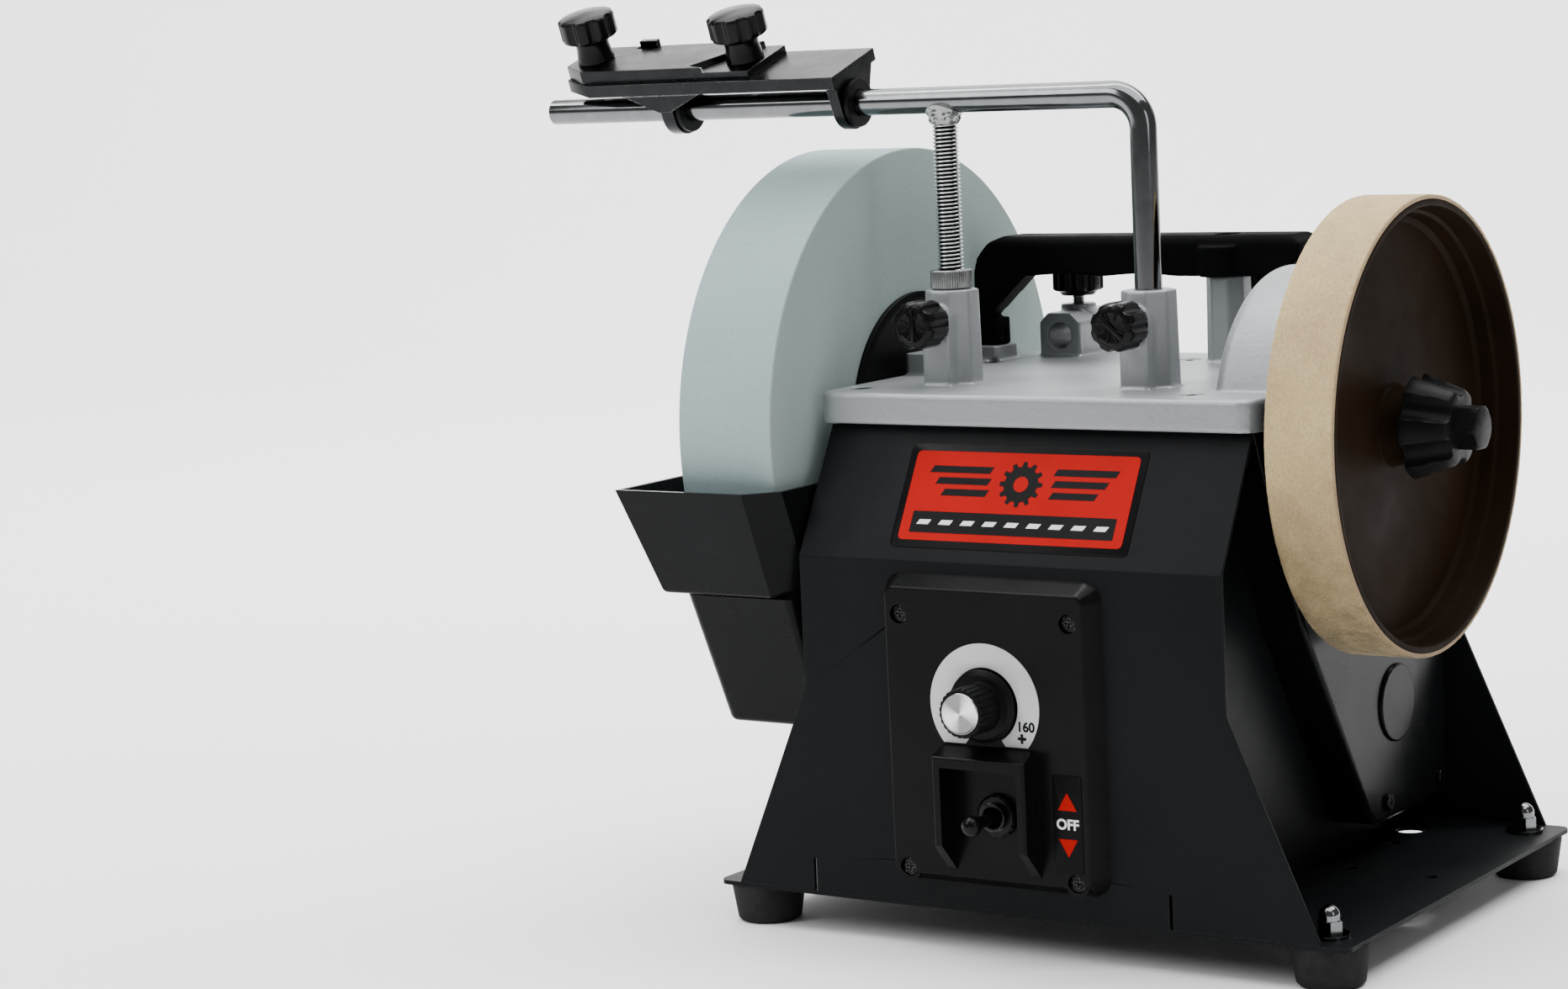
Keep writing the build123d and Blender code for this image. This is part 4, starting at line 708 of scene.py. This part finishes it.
def thread(name, body, placing, outer, pitch, low, high, stands_for=None, material="zinc_steel"):
    """A rod with a real right-hand thread along Z, chamfered at its lower end."""
    turns = (high - low) / pitch
    segments = 40
    rows = int(turns * 8) + 1
    depth = 0.61 * pitch
    inner = outer - depth
    verts, faces = [], []
    for i in range(rows):
        z = low + (high - low) * i / (rows - 1)
        for k in range(segments):
            a = 2 * math.pi * k / segments
            phase = (z / pitch - a / (2 * math.pi)) % 1.0
            tooth = min(1.0, max(0.0, 1.35 - abs(phase - 0.5) * 2 * 1.7))
            r = inner + (outer - inner) * tooth
            r = min(r, inner - 0.2 + (z - low) * 0.9)
            verts.append(placing @ Vector((r * math.cos(a), r * math.sin(a), z)))
    for i in range(rows - 1):
        for k in range(segments):
            m = (k + 1) % segments
            faces.append((i * segments + k, i * segments + m, (i + 1) * segments + m, (i + 1) * segments + k))
    faces.append(tuple(range(segments - 1, -1, -1)))
    faces.append(tuple((rows - 1) * segments + k for k in range(segments)))
    return piece(name, verts, faces, material, body, stands_for, 70)


# Each knob: radius, lobes, scoop centre, scoop radius, top, then the neck as (height, radius).
CLAMP_NECK = [(0.0, 6.7), (0.4, 7.0), (2.6, 8.0), (3.0, 8.6), (3.2, 9.8), (3.8, 10.6)]
REAR_NECK = [(0.0, 7.7), (0.4, 8.2), (1.5, 9.0), (2.0, 9.9), (2.2, 11.0), (2.8, 12.0)]
JIG_NECK = [
    (0.0, 8.6), (0.4, 8.95), (4.0, 8.4), (7.5, 7.9), (9.4, 8.2), (10.6, 9.6), (11.4, 12.4), (12.0, 13.2)
]
CLAMP_SHAPE = (10.8, 8, 12.1, 2.7, 19.0, CLAMP_NECK)
REAR_SHAPE = (12.2, 8, 13.7, 3.0, 19.0, REAR_NECK)
JIG_SHAPE = (13.5, 8, 15.3, 3.4, 24.0, JIG_NECK)
for side, x, turn in (("left", LEG_X, math.pi / 4), ("right", ROD_X, math.pi / 2)):
    where = along_minus_y(x, -66.6, 270.8) @ Matrix.Rotation(turn, 4, "Z")
    knob = "front_knob_" + side
    lobed_knob(knob, knob, "front_clamp_knob_" + side, where, CLAMP_SHAPE, 10.3)
for side, x in (("left", -76.0), ("right", 24.0)):
    where = Matrix.Translation((x, 88.0, 270.0)) @ Matrix.Rotation(math.radians(12), 4, "Z")
    lobed_knob("rear_knob_" + side, "rear_knob_" + side, "rear_clamp_knob_" + side, where, REAR_SHAPE, 11.6)
JIG_TILT = math.radians(19)
JIG = Matrix.Translation((0, BAR_Y, BAR_HEIGHT)) @ Matrix.Rotation(JIG_TILT, 4, "X")
for side, x, seat, stud in (("left", -253.0, 23.7, 13.2), ("right", -168.0, 21.2, 10.7)):
    where = JIG @ Matrix.Translation((x, 5.0, seat))
    body = "clamp_knob_" + side
    lobed_knob("blade_knob_" + side, body, "jig_knob_" + side, where, JIG_SHAPE, stud, domed_end)


# ---------------------------------------------------------------- tool support
def tube(name, path, radius, material, body, stands_for, round_end):
    """A round bar swept along points that all lie at one Y. Its first end is rounded, its last chamfered."""
    segments = 48
    points = [Vector(p) for p in path]
    rings = []
    for i, p in enumerate(points):
        ahead = points[min(i + 1, len(points) - 1)] - points[max(i - 1, 0)]
        along = ahead.normalized()
        rings.append((p, along, radius))
    start, direction = rings[0][0], rings[0][1]
    caps = []
    for k in range(9):
        t = math.pi / 2 * k / 9
        inset = round_end * (1 - math.sin(t))
        shrink = round_end * (1 - math.cos(math.pi / 2 - t))
        centre = start + direction * round_end - direction * (round_end - inset)
        caps.append((centre, direction, radius - shrink))
    end, out = rings[-1][0], rings[-1][1]
    rings = [*caps, *rings[1:-1], (end - out, out, radius), (end, out, radius - 1.0)]
    verts, faces = [], []
    side = Vector((0, 1, 0))
    for p, along, r in rings:
        up = side.cross(along).normalized()
        for k in range(segments):
            a = 2 * math.pi * k / segments
            verts.append(p + (side * math.cos(a) + up * math.sin(a)) * r)
    for i in range(len(rings) - 1):
        for k in range(segments):
            m = (k + 1) % segments
            faces.append((i * segments + k, i * segments + m, (i + 1) * segments + m, (i + 1) * segments + k))
    faces.append(tuple(range(segments)))
    faces.append(tuple((len(rings) - 1) * segments + k for k in range(segments)))
    return piece(name, verts, faces, material, body, stands_for, 50)


def bar_path():
    """The bar's centre line: from its free end at the left, round the bend, to the rod's foot."""
    left, right, low, top, bend = -281.0, ROD_X, LEG_FOOT, BAR_HEIGHT, 15.0
    path = [(left + (right - bend - left) * k / 24, BAR_Y, top) for k in range(25)]
    for k in range(1, 17):
        a = math.pi / 2 * k / 16
        path.append((right - bend + bend * math.sin(a), BAR_Y, top - bend + bend * math.cos(a)))
    path += [(right, BAR_Y, top - bend - (top - bend - low) * k / 12) for k in range(1, 13)]
    return path


tube("chrome_bar", bar_path(), 6.0, "chrome", "support", "support_bar", 3.0)
LEG = Matrix.Translation((LEG_X, BAR_Y, 0))
thread("leg_thread", "support", LEG, 5.9, 1.75, LEG_FOOT, LEG_TOP, "threaded_leg", "leg_steel")


def weld_bead():
    """Uneven, flared ring of weld where the threaded leg meets the bar."""
    verts, faces = [], []
    rows, segments = 14, 72
    foot = LEG_TOP + 0.2
    for i in range(rows):
        t = i / (rows - 1)
        for k in range(segments):
            a = 2 * math.pi * k / segments
            crown = 363.4 + 3.4 * abs(math.cos(a)) ** 2
            z = foot + (crown - foot) * t
            lump = 0.9 * noise.noise(Vector((math.cos(a) * 3, math.sin(a) * 3, t * 4)))
            r = 6.1 + 2.4 * t + (0.25 * math.sin(a * 13) + lump) * math.sin(math.pi * t)
            turn = a + math.pi / 2
            verts.append((LEG_X + r * math.cos(turn), BAR_Y + min(r, 8.6) * math.sin(turn), z))
    for i in range(rows - 1):
        for k in range(segments):
            m = (k + 1) % segments
            faces.append((i * segments + k, i * segments + m, (i + 1) * segments + m, (i + 1) * segments + k))
    faces.append(tuple(range(segments)))
    faces.append(tuple((rows - 1) * segments + k for k in range(segments)))
    return piece("leg_weld", verts, faces, "zinc_steel", "support")


weld_bead()


def knurl(angle, z, r):
    return r - 0.32 * (0.5 + 0.5 * math.cos(angle * 54)) if r > 9.2 else r


turned(
    "height_ring",
    [(284.8, 6.0, 0), (284.8, 8.9), (285.4, 9.4), (292.6, 9.4), (293.2, 8.9), (293.2, 6.0, 0)],
    "zinc_steel", "height_adjuster", LEG, "height_nut", 480, 0.25, radius=knurl,
)


# ---------------------------------------------------------------- feet
def feet():
    for k, (x, y) in enumerate([(x, y) for x in (-141, 141) for y in (-104, 104)]):
        profile = [(0, 6.2), (0, 13.0), (1.5, 14.6), (16.8, 16.9), (18, 16.9, 0.4)]
        profile += [(18, 3.1, 0), (6, 3.1, 0), (6, 6.2, 0)]
        where = Matrix.Translation((x, y, 0))
        turned(f"foot_{k}", profile, "rubber", "machine", where, "rubber_feet", 96, 0.7)


feet()


# ---------------------------------------------------------------- controls
DIAL = along_minus_y(-6.0, FACE_Y, 112.5)


def flute(angle, z, r):
    return r - 0.8 * max(0.0, math.cos(angle * 24)) ** 2 if 10.0 < r < 11.0 and z > 5 else r


turned(
    "dial_knob",
    [(1.4, 3.05, 0), (1.4, 16.0), (3.2, 15.9), (4.4, 13.9), (4.5, 10.8), (19.5, 10.8), (20.2, 10.2),
     (20.2, 9.2, 0.1), (19.9, 9.1, 0.1), (19.9, 3.05, 0)],
    "matte_black_plastic", "speed_dial", DIAL, "speed_knob", 288, 0.5, radius=flute,
)
turned(
    "dial_cap", [(19.9, 0.02, 0), (19.9, 9.0, 0), (20.7, 9.0), (21.1, 8.6), (20.95, 8.1), (20.95, 0.02, 0)],
    "cap", "speed_dial", DIAL, "speed_knob_cap", 128, 0.2,
)
pointer = DIAL @ Matrix.Rotation(math.radians(-140), 4, "Z") @ Matrix.Translation((13.1, 0, 3.75))
plate("dial_pointer", box_outline(-1.2, 1.2, -0.35, 0.35), 0.25, "print_white", "speed_dial", pointer, 0)


def dial_ring():
    """Printed ring: round outside, flat below, with a gap under the knob."""
    outer, inner, flat, half_gap = 27.0, 16.6, -17.2, 8.0
    start = math.asin(flat / outer)
    points = []
    for k in range(97):
        a = start + (math.pi - 2 * start) * k / 96
        points.append((outer * math.cos(a), outer * math.sin(a)))
    inner_start = -math.acos(half_gap / inner)
    points.append((-half_gap - 2.0, flat))
    for k in range(61):
        a = math.pi - inner_start - (math.pi - 2 * inner_start) * k / 60
        points.append((inner * math.cos(a), inner * math.sin(a)))
    points.append((half_gap + 2.0, flat))
    return points


plate("dial_print", dial_ring(), 0.5, "dial_grey", "machine", DIAL, 0.08, stands_for="dial_plate")


def lettering(name, text, size, bold, material, body, placing):
    """Flat text as a mesh. bold thickens its strokes, as a share of its size."""
    curve = bpy.data.curves.new(name, "FONT")
    curve.body = text
    curve.size = size
    curve.align_x, curve.align_y = "CENTER", "CENTER"
    curve.extrude = 0.03
    curve.offset = bold * size
    curve.resolution_u = 6
    raw = bpy.data.objects.new(name + "_raw", curve)
    bpy.context.scene.collection.objects.link(raw)
    graph = bpy.context.evaluated_depsgraph_get()
    mesh = bpy.data.meshes.new_from_object(raw.evaluated_get(graph), depsgraph=graph)
    bpy.data.objects.remove(raw)
    mesh.transform(Matrix.Scale(MM, 4) @ placing)
    mesh.name = name
    return place(name, mesh, material, body)


for name, text, size, bold, spot in (
    ("dial_high", "160", 5.9, 0.035, (20.2, -8.2, 0.53)),
    ("dial_plus", "+", 7.4, 0.05, (18.2, -13.6, 0.53)),
):
    lettering(name, text, size, bold, "label_black", "machine", DIAL @ Matrix.Translation(spot))

SWITCH = along_minus_y(33.0, FACE_Y, 63.5)
switch_outline = rounded(box_outline(-7, 7, -21.5, 21.5), 1.5)
plate("switch_print", switch_outline, 0.35, "label_black", "machine", SWITCH, 0.05, stands_for="switch_label")
for name, sign in (("up", 1), ("down", -1)):
    triangle = [(-4.6, sign * 6.2), (4.6, sign * 6.2), (0, sign * 14.0)]
    where = SWITCH @ Matrix.Translation((0, 0, 0.35))
    plate("switch_" + name, triangle[::sign], 0.05, "label_red", "machine", where, 0)
lettering("switch_off", "OFF", 6.2, 0.03, "print_white", "machine", SWITCH @ Matrix.Translation((0, 0, 0.38)))

TOGGLE = along_minus_y(-1.0, FACE_Y, 65.0)
turned(
    "toggle_stick",
    [(-7.05, 0.02, 0), (-7.05, 1.2), (-4.6, 3.7), (-3.0, 3.9), (-0.6, 2.4), (6, 2.5), (16, 2.7),
     (18.8, 2.8), (19.3, 3.3), (20.4, 4.0), (21.6, 4.3), (23.0, 4.4), (24.6, 4.1), (26.0, 3.2),
     (26.9, 1.9), (27.3, 0.02, 0)],
    "knob_plastic", "toggle", TOGGLE, "toggle_lever", 96, 0.8,
)


def grip_ring(angle, z, r):
    return r - 0.5 * max(0.0, math.cos(angle * 16)) ** 4 if r > 9.0 else r


turned(
    "toggle_ring", [(0, 6.05, 0), (0, 9.45), (2.4, 9.45), (3.4, 8.2), (3.4, 6.05, 0)],
    "black_steel", "machine", TOGGLE, "toggle_nut", 256, 0.4, grip_ring,
)


# ---------------------------------------------------------------- front label
def label_place():
    """On the front panel's slope, which runs from Y -121, Z 172 up to Y -88, Z 229."""
    run, rise = 121.0 - 88.0, 229.0 - 172.0
    slope = math.hypot(run, rise)
    up = Vector((0, run / slope, rise / slope))
    out = Vector((0, -rise / slope, run / slope))
    turn = Matrix((Vector((1, 0, 0)), up, out)).transposed().to_4x4()
    share_up = 0.47
    return Matrix.Translation((0, -121.0 + run * share_up, 172.0 + rise * share_up)) @ turn


LABEL = label_place()


def on_label(name, outline, material, lift, thick=0.06, corner=0.0):
    outline = rounded(outline, corner) if corner else outline
    return plate(name, outline, thick, material, "machine", LABEL @ Matrix.Translation((0, 0, lift)), 0)


backing = rounded(box_outline(-59, 59, -24.5, 24.5), 3)
plate("label_backing", backing, 0.3, "label_black", "machine", LABEL, 0.08, stands_for="front_label")
on_label("label_field", box_outline(-55.5, 55.5, -21, 21), "label_red", 0.3, 0.06, 2.5)
on_label("label_strip", box_outline(-50.5, 50.5, -17.5, -7.5), "label_black", 0.36, 0.05, 0.6)
for k in range(9):
    x = -44 + 11 * k
    dash = [(x - 3.6, -13.6), (x + 2.2, -13.6), (x + 3.6, -11.4), (x - 2.2, -11.4)]
    on_label(f"label_dash_{k}", dash, "print_white", 0.41, 0.04)


def cog_outline(teeth, inner, outer):
    """A plain cog wheel. Each tooth takes 0.6 of its step at the root and 0.34 at the tip."""
    step = 2 * math.pi / teeth
    corners = ((-0.30, inner), (-0.17, outer), (0.17, outer), (0.30, inner))
    spots = [((k + t) * step, r) for k in range(teeth) for t, r in corners]
    return [(r * math.cos(a), r * math.sin(a)) for a, r in spots]


def disc_outline(radius):
    points = 48
    turns = [2 * math.pi * k / points for k in range(points)]
    return [(radius * math.cos(a), radius * math.sin(a)) for a in turns]


def label_emblem():
    """A cog wheel between two sets of slanted stripes."""
    middle = 6.5
    on_label("label_cog", [(x, y + middle) for x, y in cog_outline(12, 8.4, 10.6)], "label_black", 0.36, 0.05)
    on_label("label_cog_eye", [(x, y + middle) for x, y in disc_outline(3.6)], "label_red", 0.41, 0.04)
    for side in (-1, 1):
        for k, reach in enumerate((47, 43, 39)):
            low = middle + 4.4 - 5.4 * k
            a, b = sorted((side * 15, side * reach))
            stripe = [(a, low), (b - 1.6, low), (b, low + 3.2), (a + 1.6, low + 3.2)]
            on_label(f"label_stripe_{side}_{k}".replace("-", "l"), stripe, "label_black", 0.36, 0.05)


label_emblem()


# ---------------------------------------------------------------- floor and light
def backdrop():
    """A pale paper sweep: level under the machine, then curved up behind it, square to the view."""
    away = Vector((-math.sin(VIEW_AZIMUTH), math.cos(VIEW_AZIMUTH), 0))
    across = Vector((away.y, -away.x, 0))
    flat, curve, wall = 2.6, 1.6, 4.0
    profile = [(-7.0, 0.0), (0.0, 0.0)]
    bends = [math.pi / 2 * k / 16 for k in range(17)]
    profile += [(flat + curve * math.sin(a), curve * (1 - math.cos(a))) for a in bends]
    profile.append((flat + curve, wall))
    verts = [away * d + across * side + Vector((0, 0, z)) for d, z in profile for side in (-8, 8)]
    faces = [(2 * i, 2 * i + 1, 2 * i + 3, 2 * i + 2) for i in range(len(profile) - 1)]
    mesh = bpy.data.meshes.new("backdrop")
    mesh.from_pydata(verts, [], faces)
    mesh.shade_smooth()
    obj = bpy.data.objects.new("backdrop", mesh)
    bpy.context.scene.collection.objects.link(obj)
    g = Graph("backdrop_paper", (0.90, 0.90, 0.90), 0.85, specular=0.1)
    g.colour(g.mix(g.noise(3, 2), (0.89, 0.89, 0.89), (0.91, 0.91, 0.91)))
    mesh.materials.append(g.mat)


def area(name, place_at, target, size, power):
    data = bpy.data.lights.new(name, "AREA")
    data.shape = "RECTANGLE"
    data.size, data.size_y = size
    data.energy = power
    obj = bpy.data.objects.new(name, data)
    bpy.context.scene.collection.objects.link(obj)
    obj.location = place_at
    obj.rotation_euler = (Vector(target) - Vector(place_at)).to_track_quat("-Z", "Y").to_euler()


def studio():
    world = bpy.data.worlds.new("studio")
    world.use_nodes = True
    world.node_tree.nodes["Background"].inputs[0].default_value = (1, 1, 1, 1)
    world.node_tree.nodes["Background"].inputs[1].default_value = 0.22
    bpy.context.scene.world = world
    aim = (-0.03, 0, 0.2)
    area("overhead", (-0.2, 0.4, 3.4), (-0.2, 0.4, 0.0), (5.0, 5.0), 330)
    area("wall_wash", (-0.4, 0.6, 3.2), (-2.4, 3.6, 0.7), (6.0, 1.0), 330)
    area("key", (-1.1, -1.7, 1.5), aim, (0.9, 1.2), 22)
    area("fill", (2.0, -0.7, 0.9), aim, (0.4, 1.2), 5)


backdrop()
studio()
